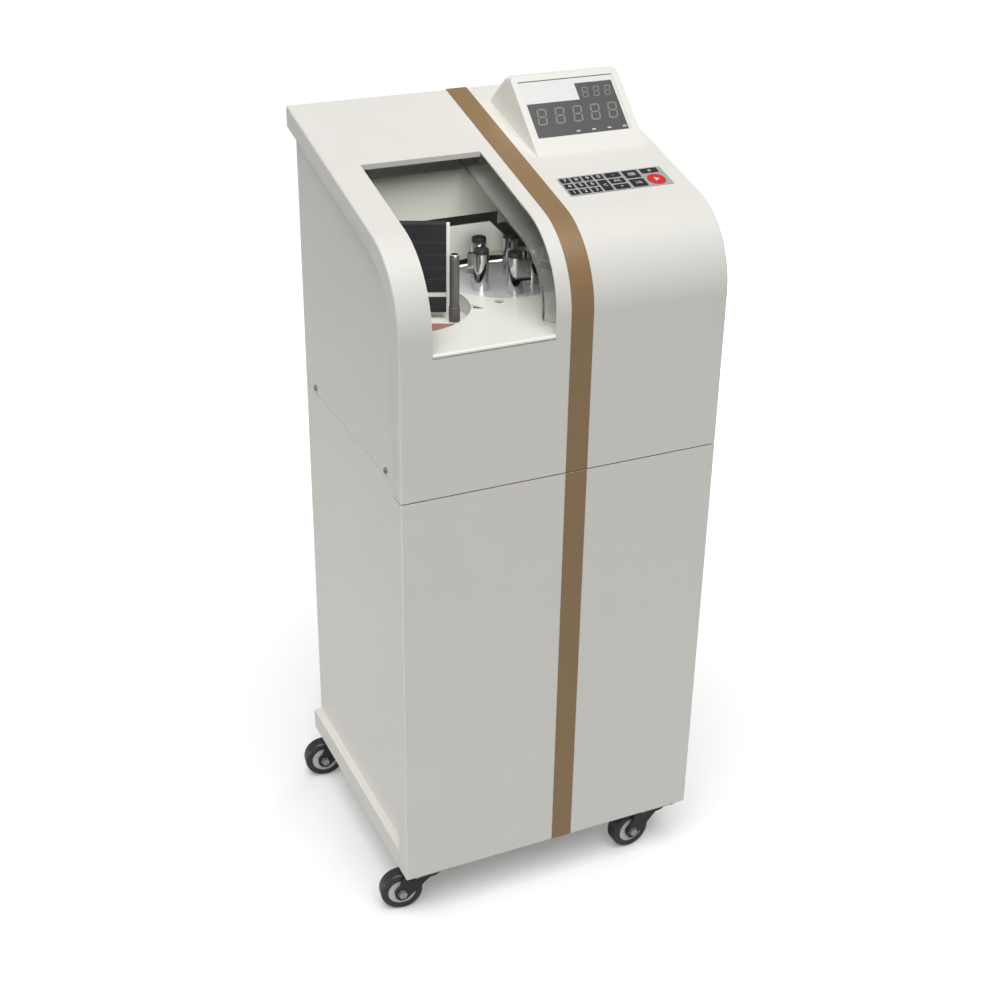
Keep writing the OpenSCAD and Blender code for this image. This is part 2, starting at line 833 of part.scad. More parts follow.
// Side view of the console, set in from its faces
module console_outline(inset) {
    r = ridge_r - inset;
    reach = inset > 0 ? console_back - console_front : 0;
    face_end = console_foot - inset * face_n - reach * face_u;
    rear_end = console_heel - inset * rear_n + reach * [rear_n[1], -rear_n[0]];
    polygon([face_end, ridge + r * face_n, ridge, ridge + r * rear_n, rear_end]);
    translate(ridge) circle(r);
}

// Shape of the filter, drawn on the console's face and grown by a distance
module filter_outline(grow) {
    translate([filter_x0 - grow, filter_u0 - grow])
        square([filter_w + 2 * grow, filter_h + 2 * grow]);
    translate([filter_x0 + filter_w - filter_block_w - grow, filter_u0 - grow])
        square([filter_block_w + 2 * grow, filter_h + filter_block_h + 2 * grow]);
}

module label_outline(grow) {
    translate([label_x0 - grow, label_u - grow]) square([label_w + 2 * grow, label_h + 2 * grow]);
}

module display_housing() {
    low = console_foot[1] - console_corner;
    color(paint) cabinet() {
        difference() {
            intersection() {
                across(console_x, console_x1) console_outline(0);
                translate([console_x, console_back + cut, low]) rotate([90, 0, 0])
                    linear_extrude(console_back - console_front + 2 * cut)
                    round_rect(console_w, ridge[1] + ridge_r - low, console_corner);
            }
            across(console_x + console_wall, console_x1 - console_wall) console_outline(console_wall);
            on_face() translate([0, 0, -label_recess])
                linear_extrude(2 * label_recess) label_outline(fit_gap);
            on_face() translate([0, 0, -2 * console_wall])
                linear_extrude(2 * console_wall) filter_outline(-filter_ledge);
        }
        on_face() for (x = board_x, u = board_u) {
            translate([x, u, -board_front]) cylinder(r = board_post_r, h = board_front - console_wall + 1);
        }
    }
}

module display_face() {
    color("white") cabinet() on_face() translate([0, 0, -label_recess])
        linear_extrude(label_t) difference() {
            label_outline(0);
            filter_outline(fit_gap / 2);
        }
}

module display_filter() {
    color("#38383a") cabinet() on_face() translate([0, 0, -label_recess])
        linear_extrude(label_t) filter_outline(0);
}

// Seven bars of a slanted digit, middle at the origin
module seven_bars(h) {
    w = digit_shape * h;
    bar = segment_w * h / digit_h;
    long = h / 2 - bar - bar_gap;
    lean = tan(digit_slant);
    for (level = [-1, 0, 1]) {
        y = level * (h - bar) / 2;
        translate([y * lean, y]) square([w - 2 * bar, bar], center = true);
    }
    for (side = [-1, 1], level = [-1, 1]) {
        x = side * (w - bar) / 2;
        y = level * h / 4;
        polygon([for (c = [[-1, -1], [1, -1], [1, 1], [-1, 1]])
            [x + c[0] * bar / 2 + (y + c[1] * long / 2) * lean, y + c[1] * long / 2]]);
    }
}

// Digit block with its bars raised on the front
module digit_block(w, h, tall) {
    translate([-w / 2, -tall / 2, -board_front]) cube([w, tall, board_front - digit_front - bar_t]);
    translate([0, 0, -digit_front - 2 * bar_t]) linear_extrude(2 * bar_t) seven_bars(h);
}

module display_board() {
    color("#5c6b52") cabinet() on_face() {
        block(board_x[0] - board_edge, board_x[1] + board_edge, board_u[0] - board_edge,
            board_u[1] + board_edge, -board_front - board_t, -board_front);
        for (i = [0:big_digits - 1]) {
            translate([digit_x + i * digit_pitch, digit_u, 0])
                digit_block(digit_pitch - 6.2, digit_h, digit_h + 6);
        }
        for (i = [0:small_digits - 1]) {
            translate([small_x + i * small_pitch, small_u, 0])
                digit_block(small_pitch - 2, small_h, small_h + 4);
        }
        for (i = [0:lamps - 1]) {
            translate([lamp_x + i * lamp_pitch - lamp_w / 2, lamp_u, -board_front])
                cube([lamp_w, lamp_h, board_front - digit_front]);
        }
    }
}

// Keypad

module keypad_frame() {
    cabinet() on_slope(keypad_y) translate([0, -keypad_h / 2, 0]) children();
}

// Outline of a key, grown by a distance
module key_outline(k, grow) {
    translate([k[1] - grow, k[2] - grow])
        round_rect(k[3] + 2 * grow, k[4] + 2 * grow, key_corner + grow, $fn = 24);
}

module round_key_outline(grow) {
    translate([round_key_x, round_key_v]) circle(round_key_r + grow);
}

module keypad_plate() {
    color("#b4b5b3") keypad_frame() difference() {
        union() {
            translate([keypad_x, 0, 0]) linear_extrude(keypad_rim)
                round_rect(keypad_w, keypad_h, key_margin);
            translate([keypad_x + keypad_lip, keypad_lip, -keypad_deep])
                cube([keypad_w - 2 * keypad_lip, keypad_h - 2 * keypad_lip, keypad_deep + keypad_rim / 2]);
        }
        translate([0, 0, -key_well]) linear_extrude(2 * keypad_deep) {
            for (k = KEYS) key_outline(k, fit_gap);
            round_key_outline(fit_gap);
        }
    }
}

module key_solid() {
    low = -key_well + key_travel + fit_gap;
    translate([0, 0, low]) linear_extrude(keypad_rim + key_proud - low) children();
}

module key(k) {
    color("#1c1c1d") keypad_frame() key_solid() key_outline(k, 0);
}

module round_key() {
    color("#d8262c") keypad_frame() key_solid() round_key_outline(0);
}

// Bay

module bay_liner() {
    x0 = -side_in + fit_gap;
    color("white") cabinet() difference() {
        block(x0, liner_x1, liner_y, liner_y + sheet, deck_h, liner_top);
        block(x0 + liner_foot, liner_step_x, liner_y - cut, liner_y + sheet + cut, deck_h - cut, liner_low);
        block(x0 + liner_foot, liner_x1 - liner_foot, liner_y - cut, liner_y + sheet + cut,
            deck_h - cut, liner_low - liner_step_h);
    }
}

// Pointed slot, as two arcs through its ends
module lens_outline(middle, turn, length, width) {
    r = (length * length + width * width) / (4 * width);
    translate(middle) rotate(turn) intersection() {
        translate([0, r - width / 2]) circle(r);
        translate([0, width / 2 - r]) circle(r);
    }
}

module deck_plate() {
    x = side_in - fit_gap;
    nose_y = deck_nose_r - nose_proud;
    wall_x1 = deck_wall_x + deck_wall_level;
    color("white") cabinet() {
        difference() {
            union() {
                block(-x, x, sheet + fit_gap, deck_d, deck_under, deck_h);
                block(window_x + fit_gap, window_x1 - fit_gap, nose_y, band_w, deck_under, deck_h);
                translate([window_x + fit_gap, nose_y, nose_h]) rotate([0, 90, 0])
                    cylinder(r = deck_nose_r, h = window_w - 2 * fit_gap);
            }
            translate([0, 0, deck_under - cut]) linear_extrude(sheet + 2 * cut) {
                translate([clamp_x, clamp_y]) circle(clamp_hole_r);
                translate([head_x, head_y]) circle(head_hole_r);
                translate(sensor_hole) circle(sensor_r);
                lens_outline(slot_place, slot_turn, slot_len, slot_wide);
            }
        }
        translate([0, deck_d, 0]) rotate([90, 0, 0]) linear_extrude(sheet) polygon([
            [deck_wall_x, deck_under],
            [deck_wall_x, deck_h + deck_wall_h],
            [wall_x1, deck_h + deck_wall_h],
            [wall_x1 + deck_wall_drop, deck_h + deck_wall_h - deck_wall_drop],
            [wall_x1 + deck_wall_drop, deck_under]
        ]);
    }
}

// Frame of the note plate: X along it to the right, Y through it to the back
module plate_frame() {
    cabinet() translate([plate_x, plate_y, 0]) rotate(plate_turn) children();
}

module note_plate() {
    grooves = floor((plate_z1 - rib_top - pad_high) / rib_pitch);
    color("#2b2b2c") plate_frame() difference() {
        union() {
            block(-plate_len, 0, 0, plate_t, pad_low, slot_low);
            block(-plate_len, 0, 0, plate_t, pad_high, plate_z1);
        }
        for (i = [0:grooves]) {
            z = plate_z1 - rib_top - i * rib_pitch;
            block(-plate_len - cut, cut, -cut, rib_depth, z, z + rib_gap);
        }
    }
}

module note_back_plate() {
    color("white") plate_frame()
        block(-plate_len, back_edge, plate_t, plate_t + back_t, frame_h, plate_z1 - back_drop);
}

module clamp_finger() {
    color("#c9cac9") cabinet() translate([clamp_x, clamp_y, 0]) {
        difference() {
            union() {
                translate([0, 0, clamp_under]) rotate(clamp_a0)
                    rotate_extrude(angle = clamp_a1 - clamp_a0, $fn = 120) square([clamp_r, clamp_t]);
                translate([0, 0, clamp_top - hub_h]) cylinder(r = hub_r, h = hub_h);
            }
            translate([0, 0, clamp_top - hub_h - cut]) cylinder(r = pivot_r + run_gap, h = hub_h + 2 * cut);
        }
        rotate(finger_angle) translate([finger_reach, 0, clamp_under])
            cylinder(r = finger_r, h = finger_h + clamp_t);
    }
}

// Counting head

module head_frame() {
    cabinet() translate([head_x, head_y, 0]) children();
}

function spindle_place_angle(i) = spindle_angle + 360 / spindles * i;

module head() {
    color("#aeb0b1") head_frame() {
        difference() {
            translate([0, 0, head_under]) cylinder(r = head_r, h = head_t);
            for (i = [0:spindles - 1]) rotate(spindle_place_angle(i)) {
                translate([spindle_place, 0, head_under - cut])
                    cylinder(r = shaft_r + run_gap, h = head_t + 2 * cut);
            }
        }
        translate([0, 0, gear_top + fit_gap]) cylinder(r = collar_r, h = gear_clear);
        translate([0, 0, head_under - shaft_drop]) cylinder(r = drive_r, h = shaft_drop + head_t / 2);
    }
}

// Fixed wheel round which the spindle pinions roll
module sun_gear() {
    color("#8d8f91") head_frame() translate([0, 0, gear_low]) difference() {
        linear_extrude(gear_w) gear_outline(sun_teeth);
        translate([0, 0, -cut]) cylinder(r = sun_bore, h = gear_w + 2 * cut);
    }
}

// Hollow spindle with its pinion below the disc and its suction block above it
module spindle(i) {
    place = spindle_place_angle(i);
    top = head_top + spindle_h;
    block_z = top - cap_h - block_top - block_h;
    holes = [[4, 4], [4, -4], [10, 0]];
    color("#c4c6c8") head_frame() rotate(place) translate([spindle_place, 0, 0]) rotate(-place) {
        difference() {
            union() {
                translate([0, 0, head_top + fit_gap])
                    cylinder(r = spindle_r, h = spindle_h - cap_h - fit_gap);
                translate([0, 0, top - cap_h - cut]) cylinder(r = spindle_r - 0.4, h = cap_h + cut);
                translate([0, 0, gear_low]) cylinder(r = shaft_r, h = head_top - gear_low + 2 * cut);
                rotate(block_turn + carrier_ratio * (place - spindle_angle))
                    block(0, block_reach, -spindle_r, block_t - spindle_r, block_z, block_z + block_h);
            }
            rotate(block_turn + carrier_ratio * (place - spindle_angle)) for (p = holes) {
                translate([block_reach - p[0], -spindle_r - cut, block_z + block_h / 2 + p[1]])
                    rotate([-90, 0, 0]) cylinder(r = suction_r, h = block_t / 2 + cut);
            }
        }
        rotate(carrier_ratio * place + 180 + 180 / pinion_teeth)
            translate([0, 0, gear_low]) linear_extrude(gear_w) gear_outline(pinion_teeth);
    }
}

// Safety door

// What is cut away to round one lower corner of the door
module door_corner_cut() {
    difference() {
        translate([-cut, 0, -cut]) cube([door_corner + cut, door_t + 2 * cut, door_corner + cut]);
        translate([door_corner, -cut, door_corner]) rotate([-90, 0, 0])
            cylinder(r = door_corner, h = door_t + 4 * cut);
    }
}

module safety_door() {
    low = deck_h + door_gap;
    color("#cfe3ea", 0.4) cabinet() {
        difference() {
            across(door_x, door_x + door_w) intersection() {
                hood_sheet(door_drop, door_in, low, door_back, $fn = 160);
                translate([0, low]) square([body_d, body_d]);
            }
            for (side = [0, 1]) {
                translate([door_x + side * door_w, door_drop - cut, low]) mirror([side, 0, 0])
                    door_corner_cut();
            }
        }
        for (x = [door_x + hanger_edge, door_x + door_w - hanger_edge - hanger_w]) {
            on_slope(rod_y) difference() {
                block(x, x + hanger_w, -hanger_len / 2, hanger_len / 2,
                    -door_drop - door_t / 2, -hanger_top);
                translate([x - cut, 0, -rod_drop]) rotate([0, 90, 0])
                    cylinder(r = rod_r + run_gap, h = hanger_w + 2 * cut);
            }
        }
    }
}

module door_rod() {
    color("silver") cabinet() on_slope(rod_y) translate([0, 0, -rod_drop]) rotate([0, 90, 0]) {
        translate([0, 0, -side_in]) cylinder(r = rod_r, h = 2 * side_in);
        for (z = [-side_in, side_in - rod_flange_t]) {
            translate([0, 0, z]) cylinder(r = 2 * rod_r, h = rod_flange_t);
        }
    }
}

// Frame, drive and vacuum

// Angle upright in the right front corner of a rectangle
module upright(y) {
    block(tongue_in - angle_w, tongue_in, y, y + angle_t, plinth_h, frame_under);
    block(tongue_in - angle_t, tongue_in, y, y + angle_w, plinth_h, frame_under);
}

module chassis() {
    color("#9ba0a3") cabinet() {
        difference() {
            union() {
                block(-tongue_in, tongue_in, band_w, body_d - sheet, frame_under, frame_h);
                for (side = [0, 1]) mirror([side, 0, 0]) {
                    upright(band_w);
                    translate([0, body_d - sheet, 0]) mirror([0, 1, 0]) upright(0);
                }
                translate([head_x, head_y, frame_under]) cylinder(r = boss_r, h = gear_low - frame_under);
            }
            translate([head_x, head_y, frame_under - cut])
                cylinder(r = drive_r + run_gap, h = gear_low - frame_under + 2 * cut);
            for (p = rear_screws) {
                translate([p[0], body_d, p[1]]) rotate([90, 0, 0])
                    cylinder(r = thread_r, h = sheet + angle_t + cut);
            }
        }
        translate([clamp_x, clamp_y, frame_h - cut]) {
            cylinder(r = hub_r, h = clamp_top - hub_h - fit_gap - frame_h + cut);
            cylinder(r = pivot_r, h = clamp_top + cut - frame_h + cut);
        }
        for (p = deck_posts) translate([p[0], p[1], frame_h - cut]) {
            cylinder(r = deck_post_r, h = deck_under - frame_h + cut);
        }
    }
}

module drive_motor() {
    low = frame_under - gearbox_h;
    color("#6f7476") head_frame() {
        difference() {
            translate([-gearbox_w / 2, -gearbox_w / 2, low])
                linear_extrude(gearbox_h) round_rect(gearbox_w, gearbox_w, 6);
            translate([0, 0, head_under - shaft_drop - 2]) cylinder(r = drive_r + 0.3, h = 2 * shaft_drop);
        }
        translate([0, 0, low - motor_h]) cylinder(r = motor_r, h = motor_h + cut);
        translate([0, 0, low - motor_h - 6]) cylinder(r = motor_r - 6, h = 7);
        translate([gearbox_w / 2 - cut, -union_w / 2, low]) cube([union_w + cut, union_w, union_w]);
    }
}

module vacuum_pump() {
    axis_h = sheet + foot_h + fin_r;
    fin_pitch = (pump_len - 2 * fin_edge) / (fins - 1);
    low_x = pump_x - pump_len / 2;
    color("#4f5456") cabinet() {
        translate([low_x, head_y, axis_h]) rotate([0, 90, 0]) {
            cylinder(r = pump_r, h = pump_len);
            translate([0, 0, -bell_len]) cylinder(r = pump_r - bell_step, h = pump_len + 2 * bell_len);
            for (i = [0:fins - 1]) {
                translate([0, 0, fin_edge - fin_t / 2 + i * fin_pitch]) cylinder(r = fin_r, h = fin_t);
            }
        }
        for (x = [low_x + foot_len, low_x + pump_len - 2 * foot_len]) {
            block(x, x + foot_len, head_y - fin_r, head_y + fin_r, sheet, axis_h - pump_r / 2);
        }
        translate([hose_x, head_y, axis_h]) cylinder(r = hose_r + 4, h = port_h - axis_h);
    }
}

module vacuum_hose() {
    color("#232425") cabinet() translate([hose_x, head_y, port_h]) difference() {
        union() {
            cylinder(r = hose_r, h = hose_h);
            for (z = [3, hose_h - 3 - clip_h]) translate([0, 0, z]) cylinder(r = hose_r + 1.5, h = clip_h);
        }
        translate([0, 0, -cut]) cylinder(r = hose_bore, h = hose_h + 2 * cut);
    }
}

// Power inlet

module inlet_frame() {
    cabinet() translate([inlet_x, body_d, inlet_h]) children();
}

module power_inlet() {
    color("#222223") inlet_frame() {
        difference() {
            union() {
                translate([-inlet_w / 2, inlet_rim, -inlet_len / 2]) rotate([90, 0, 0])
                    linear_extrude(inlet_rim) round_rect(inlet_w, inlet_len, 3);
                block(-inlet_in_w / 2, inlet_in_w / 2, -inlet_deep, inlet_rim / 2,
                    -inlet_in_h / 2, inlet_in_h / 2);
            }
            translate([-plug_w / 2, inlet_rim + cut, plug_z - plug_h / 2]) rotate([90, 0, 0])
                linear_extrude(plug_deep + cut) round_rect(plug_w, plug_h, 3);
            block(-rocker_well_w / 2, rocker_well_w / 2, rocker_y - rocker_hub - cut, inlet_rim + cut,
                rocker_z - rocker_well_h / 2, rocker_z + rocker_well_h / 2);
        }
        for (p = [[-7, -2], [0, 2], [7, -2]]) {
            block(p[0] - 1, p[0] + 1, inlet_rim - plug_deep - cut, inlet_rim - pin_depth,
                plug_z + p[1] - 2, plug_z + p[1] + 2);
        }
        translate([-rocker_well_w / 2 - cut, rocker_y, rocker_z]) rotate([0, 90, 0])
            cylinder(r = rocker_pin_r, h = rocker_well_w + 2 * cut);
    }
}

// Rocker that turns on the inlet's cross pin
module power_switch() {
    half = rocker_h / 2 - 0.45;
    color("#161617") inlet_frame() translate([0, rocker_y, rocker_z]) rotate([rocker_tilt, 0, 0])
        across(-rocker_w / 2, rocker_w / 2) difference() {
            union() {
                polygon([[0, -half + 4], [5.2, -half], [3.6, 0], [5.2, half], [0, half - 4]]);
                circle(rocker_hub);
            }
            circle(rocker_pin_r + run_gap);
        }
}

// Casters

module caster_plates() {
    color("#aaadaf") for (c = CASTERS) translate([c[1], c[2], 0]) {
        translate([-caster_plate_w / 2, -caster_plate_l / 2, caster_h - plate_thick])
            linear_extrude(plate_thick) round_rect(caster_plate_w, caster_plate_l, 4);
        translate([0, 0, crown_top + swivel_gap]) cylinder(r = crown_r - 1, h = race_h + cut);
        translate([0, 0, rivet_low]) cylinder(r = king_r, h = caster_h - plate_thick - rivet_low + cut);
        translate([0, 0, rivet_low]) cylinder(r = king_r + 4, h = rivet_t);
    }
}

// Frame of a caster: X along its trail
module caster_frame(c) {
    translate([c[1], c[2], 0]) rotate(c[3]) children();
}

module caster_fork(c) {
    leg_y = wheel_w / 2 + wheel_gap;
    end_r = axle_r + 6;
    color("#1b1b1c") caster_frame(c) {
        difference() {
            translate([0, 0, crown_top - crown_t]) cylinder(r = crown_r, h = crown_t);
            translate([0, 0, crown_top - 2 * crown_t]) cylinder(r = king_r + run_gap, h = 3 * crown_t);
        }
        for (y = [-leg_y, leg_y + leg_t]) {
            translate([0, y, 0]) rotate([90, 0, 0]) linear_extrude(leg_t) {
                polygon([
                    [-crown_r * 0.6, crown_top],
                    [crown_r * 0.85, crown_top],
                    [trail + end_r, wheel_r],
                    [trail - end_r * 0.7, wheel_r - end_r * 0.7]
                ]);
                translate([trail, wheel_r]) circle(end_r);
            }
        }
        translate([trail, 0, wheel_r]) rotate([90, 0, 0]) {
            cylinder(r = axle_r, h = 2 * (leg_y + leg_t), center = true);
            for (side = [-1, 1]) {
                translate([0, 0, side * (leg_y + leg_t + 1.4)])
                    cylinder(r = axle_r + 2.5, h = 3.2, center = true, $fn = 6);
            }
        }
    }
}

module caster_wheel(c) {
    half = wheel_w / 2;
    bore = axle_r + run_gap;
    hub = axle_r + 5;
    rim = wheel_r * 0.68;
    shoulder = wheel_r * 0.16;
    color("#2a2a2b") caster_frame(c) translate([trail, 0, wheel_r]) rotate([90, 0, 0])
        rotate_extrude($fn = 96) difference() {
            union() {
                translate([bore, -half]) square([wheel_r - shoulder - bore, wheel_w]);
                translate([bore, -half + shoulder]) square([wheel_r - bore, wheel_w - 2 * shoulder]);
                for (y = [-half + shoulder, half - shoulder]) {
                    translate([wheel_r - shoulder, y]) circle(shoulder);
                }
            }
            for (y = [-half - cut, half - 2]) translate([hub, y]) square([rim - hub, 2 + cut]);
        }
}

// Drawing

base_tray();
left_side_panel();
right_side_panel();
rear_panel();
front_panel();
hood();
stripes();
case_screws();
display_housing();
display_face();
display_filter();
display_board();
keypad_plate();
bay_liner();
deck_plate();
note_plate();
note_back_plate();
clamp_finger();
head();
sun_gear();
safety_door();
door_rod();
chassis();
drive_motor();
vacuum_pump();
vacuum_hose();
power_inlet();
power_switch();
caster_plates();
for (k = KEYS) {
    key(k);
}
round_key();
for (i = [0:spindles - 1]) {
    spindle(i);
}
for (c = CASTERS) {
    caster_fork(c);
    caster_wheel(c);
}
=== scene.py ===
"""Looks of a floor-standing vacuum note counter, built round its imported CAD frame."""

import json
import logging
import math
from collections.abc import Callable, Iterable
from dataclasses import dataclass
from enum import Enum, StrEnum

import bmesh
import bpy
from mathutils import Matrix, Vector

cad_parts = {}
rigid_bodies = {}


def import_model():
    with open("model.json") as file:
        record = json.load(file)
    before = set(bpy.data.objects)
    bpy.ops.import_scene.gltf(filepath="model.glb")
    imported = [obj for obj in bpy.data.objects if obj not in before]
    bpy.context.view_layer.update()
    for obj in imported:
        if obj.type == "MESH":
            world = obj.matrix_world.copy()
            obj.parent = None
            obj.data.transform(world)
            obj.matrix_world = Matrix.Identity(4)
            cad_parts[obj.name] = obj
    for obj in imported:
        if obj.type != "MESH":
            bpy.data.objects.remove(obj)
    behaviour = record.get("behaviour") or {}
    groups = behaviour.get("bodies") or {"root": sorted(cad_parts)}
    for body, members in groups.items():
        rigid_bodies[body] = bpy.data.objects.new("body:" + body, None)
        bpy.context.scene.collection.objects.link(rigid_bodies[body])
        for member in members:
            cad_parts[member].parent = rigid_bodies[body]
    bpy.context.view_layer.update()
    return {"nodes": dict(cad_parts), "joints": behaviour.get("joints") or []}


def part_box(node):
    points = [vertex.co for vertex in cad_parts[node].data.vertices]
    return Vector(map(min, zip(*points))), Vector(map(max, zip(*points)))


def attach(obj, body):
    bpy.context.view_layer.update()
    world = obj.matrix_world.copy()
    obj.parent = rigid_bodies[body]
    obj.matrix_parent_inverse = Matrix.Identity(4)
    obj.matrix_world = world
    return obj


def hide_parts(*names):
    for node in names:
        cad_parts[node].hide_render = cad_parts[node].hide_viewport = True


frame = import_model()

LOG = logging.getLogger("note_counter")
MM = 0.001
FULL_TURN = 2 * math.pi
# Pitch of Blender's wave texture at a scale of one
WAVE_PITCH = FULL_TURN / 20
# Distances within which corners are one, in millimetres
CAD_MERGE = 0.002
SEAM_MERGE = 0.001
# Faces that meet at less than this many degrees are one flat face
FLAT_DEG = 0.5
# Share of a sign's height by which its strokes are thickened
SIGN_WEIGHT = 0.014
Point2 = tuple[float, float]
Point3 = tuple[float, float, float]
Mesh = bmesh.types.BMesh
Socket = bpy.types.NodeSocket


class Body(StrEnum):
    """CAD bodies that carry more than one piece."""

    CABINET = "cabinet"
    HEAD = "head"
    CLAMP = "clamp_finger"
    DOOR = "safety_door"
    ROCKER = "power_switch"


class Corner(StrEnum):
    """Corners of the cabinet that stand on a caster."""

    FRONT_LEFT = "fl"
    FRONT_RIGHT = "fr"
    REAR_LEFT = "rl"
    REAR_RIGHT = "rr"


class Edge(Enum):
    """Radius that the making leaves on an edge, in millimetres."""

    FOLDED_SHEET = 2.4
    CONSOLE_SHEET = 1.6
    CUT_SHEET = 0.35
    MOULDED = 0.3
    MACHINED = 0.25
    PRESSED = 0.4
    FORK = 0.5
    EMBOSSED = 0.15


# Colour and nodes

def linear(code: str) -> tuple[float, float, float, float]:
    """Turn an sRGB hex colour into linear light.

    Args:
        code: A hash sign and six hex digits.

    Returns:
        Red, green and blue in linear light, and an alpha of one.
    """
    channels = [int(code[i:i + 2], 16) / 255 for i in (1, 3, 5)]
    red, green, blue = (c / 12.92 if c <= 0.04045 else ((c + 0.055) / 1.055) ** 2.4 for c in channels)
    return red, green, blue, 1.0


def add_node(tree: bpy.types.NodeTree, kind: str, inputs: dict | None = None,
             links: dict | None = None, **settings: object) -> bpy.types.Node:
    """Add a node to a tree.

    Args:
        tree: The material's or world's node tree.
        kind: Blender's name of the node type.
        inputs: Socket to constant value.
        links: Socket to the output that feeds it.
        **settings: The node's own properties.

    Returns:
        The new node.
    """
    node = tree.nodes.new(kind)
    for name, value in settings.items():
        setattr(node, name, value)
    for socket, value in (inputs or {}).items():
        node.inputs[socket].default_value = value
    for socket, source in (links or {}).items():
        tree.links.new(source, node.inputs[socket])
    return node


# Finishes

@dataclass(frozen=True)
class Surface:
    """Nodes of a material in the making: its tree, its Principled node and its Object coordinates."""

    tree: bpy.types.NodeTree
    shader: bpy.types.Node
    place: Socket

    def feed(self, socket: str, source: Socket) -> None:
        """Link an output to one of the shader's sockets."""
        self.tree.links.new(source, self.shader.inputs[socket])


@dataclass(frozen=True)
class Finish:
    """A real surface: its colour and shine, and the mottle and grain that its making left on it.

    The mottle is a slow change of colour, and the grain is a fine relief. Both are sized in millimetres.
    The slot is the record's material slot for its pieces, and is empty for the stage; it is not used.
    """

    name: str
    slot: str
    colour: str
    second: str
    roughness: float
    metallic: float = 0.0
    mottle_mm: float = 40.0
    grain_mm: float = 1.2
    relief_mm: float = 0.02
    relief_share: float = 0.3

    def material(self) -> bpy.types.Material:
        """Make the material at its first use, and hand out the same one after that."""
        made = bpy.data.materials.get(self.name)
        if made is None:
            made = bpy.data.materials.new(self.name)
            made.use_nodes = True
            tree = made.node_tree
            place = add_node(tree, "ShaderNodeTexCoord").outputs["Object"]
            surface = Surface(tree, tree.nodes["Principled BSDF"], place)
            self.set_shader(surface.shader)
            self.add_mottle(surface)
            self.add_grain(surface)
        return made

    def set_shader(self, shader: bpy.types.Node) -> None:
        """Set what is the same all over the surface.

        Args:
            shader: The material's Principled node.
        """
        shader.inputs["Roughness"].default_value = self.roughness
        shader.inputs["Metallic"].default_value = self.metallic

    def add_mottle(self, surface: Surface) -> None:
        """Let the colour wander between the finish's two shades.

        Args:
            surface: The material's nodes.
        """
        cloud = add_node(surface.tree, "ShaderNodeTexNoise",
                         {"Scale": 1 / (self.mottle_mm * MM), "Detail": 3.0}, {"Vector": surface.place})
        self.blend_shades(surface, cloud.outputs[0])

    def blend_shades(self, surface: Surface, share: Socket) -> None:
        """Mix the finish's two shades by a pattern.

        Args:
            surface: The material's nodes.
            share: Output that gives the second shade's share.
        """
        shade = add_node(surface.tree, "ShaderNodeMix", {6: linear(self.colour), 7: linear(self.second)},
                         {0: share}, data_type="RGBA")
        surface.feed("Base Color", shade.outputs[2])

    def add_grain(self, surface: Surface) -> None:
        """Raise the fine relief of the surface.

        Args:
            surface: The material's nodes.
        """
        grain = add_node(surface.tree, "ShaderNodeTexNoise",
                         {"Scale": 1 / (self.grain_mm * MM), "Detail": 2.0}, {"Vector": surface.place})
        self.add_relief(surface, grain.outputs[0])

    def add_relief(self, surface: Surface, height: Socket) -> None:
        """Feed a height to the shader's normal.

        Args:
            surface: The material's nodes.
            height: Output that gives the height from zero to one.
        """
        relief = add_node(surface.tree, "ShaderNodeBump",
                          {"Strength": self.relief_share, "Distance": self.relief_mm * MM},
                          {"Height": height})
        surface.feed("Normal", relief.outputs["Normal"])


@dataclass(frozen=True)
class TurnedMetal(Finish):
    """Metal faced on a lathe: fine rings round the axis of the piece."""

    centre: Point3 = (0.0, 0.0, 0.0)
    ring_mm: float = 1.6
    streak: float = 0.12

    def add_grain(self, surface: Surface) -> None:
        """Draw the tool's rings, coarser than real ones so that they show.

        Args:
            surface: The material's nodes.
        """
        middle = add_node(surface.tree, "ShaderNodeMapping", {"Location": tuple(-c for c in self.centre)},
                          {"Vector": surface.place})
        rings = add_node(surface.tree, "ShaderNodeTexWave",
                         {"Scale": WAVE_PITCH / (self.ring_mm * MM), "Distortion": 0.6, "Detail": 1.0},
                         {"Vector": middle.outputs[0]}, wave_type="RINGS", rings_direction="Z")
        self.add_relief(surface, rings.outputs["Fac"])
        streak = add_node(surface.tree, "ShaderNodeMapRange",
                          {"To Min": self.roughness, "To Max": self.roughness + self.streak},
                          {"Value": rings.outputs["Fac"]})
        surface.feed("Roughness", streak.outputs["Result"])


@dataclass(frozen=True)
class BrushedMetal(Finish):
    """Metal brushed along one direction: long fine streaks."""

    stretch: Point3 = (0.05, 1.0, 1.0)

    def add_grain(self, surface: Surface) -> None:
        """Draw the brush's streaks along the stretched direction.

        Args:
            surface: The material's nodes.
        """
        along = add_node(surface.tree, "ShaderNodeMapping", {"Scale": self.stretch},
                         {"Vector": surface.place})
        super().add_grain(Surface(surface.tree, surface.shader, along.outputs[0]))


@dataclass(frozen=True)
class ClearSheet(Finish):
    """Clear moulded sheet that light passes through."""

    ior: float = 1.49
    haze: float = 0.12

    def set_shader(self, shader: bpy.types.Node) -> None:
        """Set the sheet's clearness on the shader itself.

        Args:
            shader: The material's Principled node.
        """
        super().set_shader(shader)
        shader.inputs["Transmission Weight"].default_value = 1.0 - self.haze
        shader.inputs["IOR"].default_value = self.ior


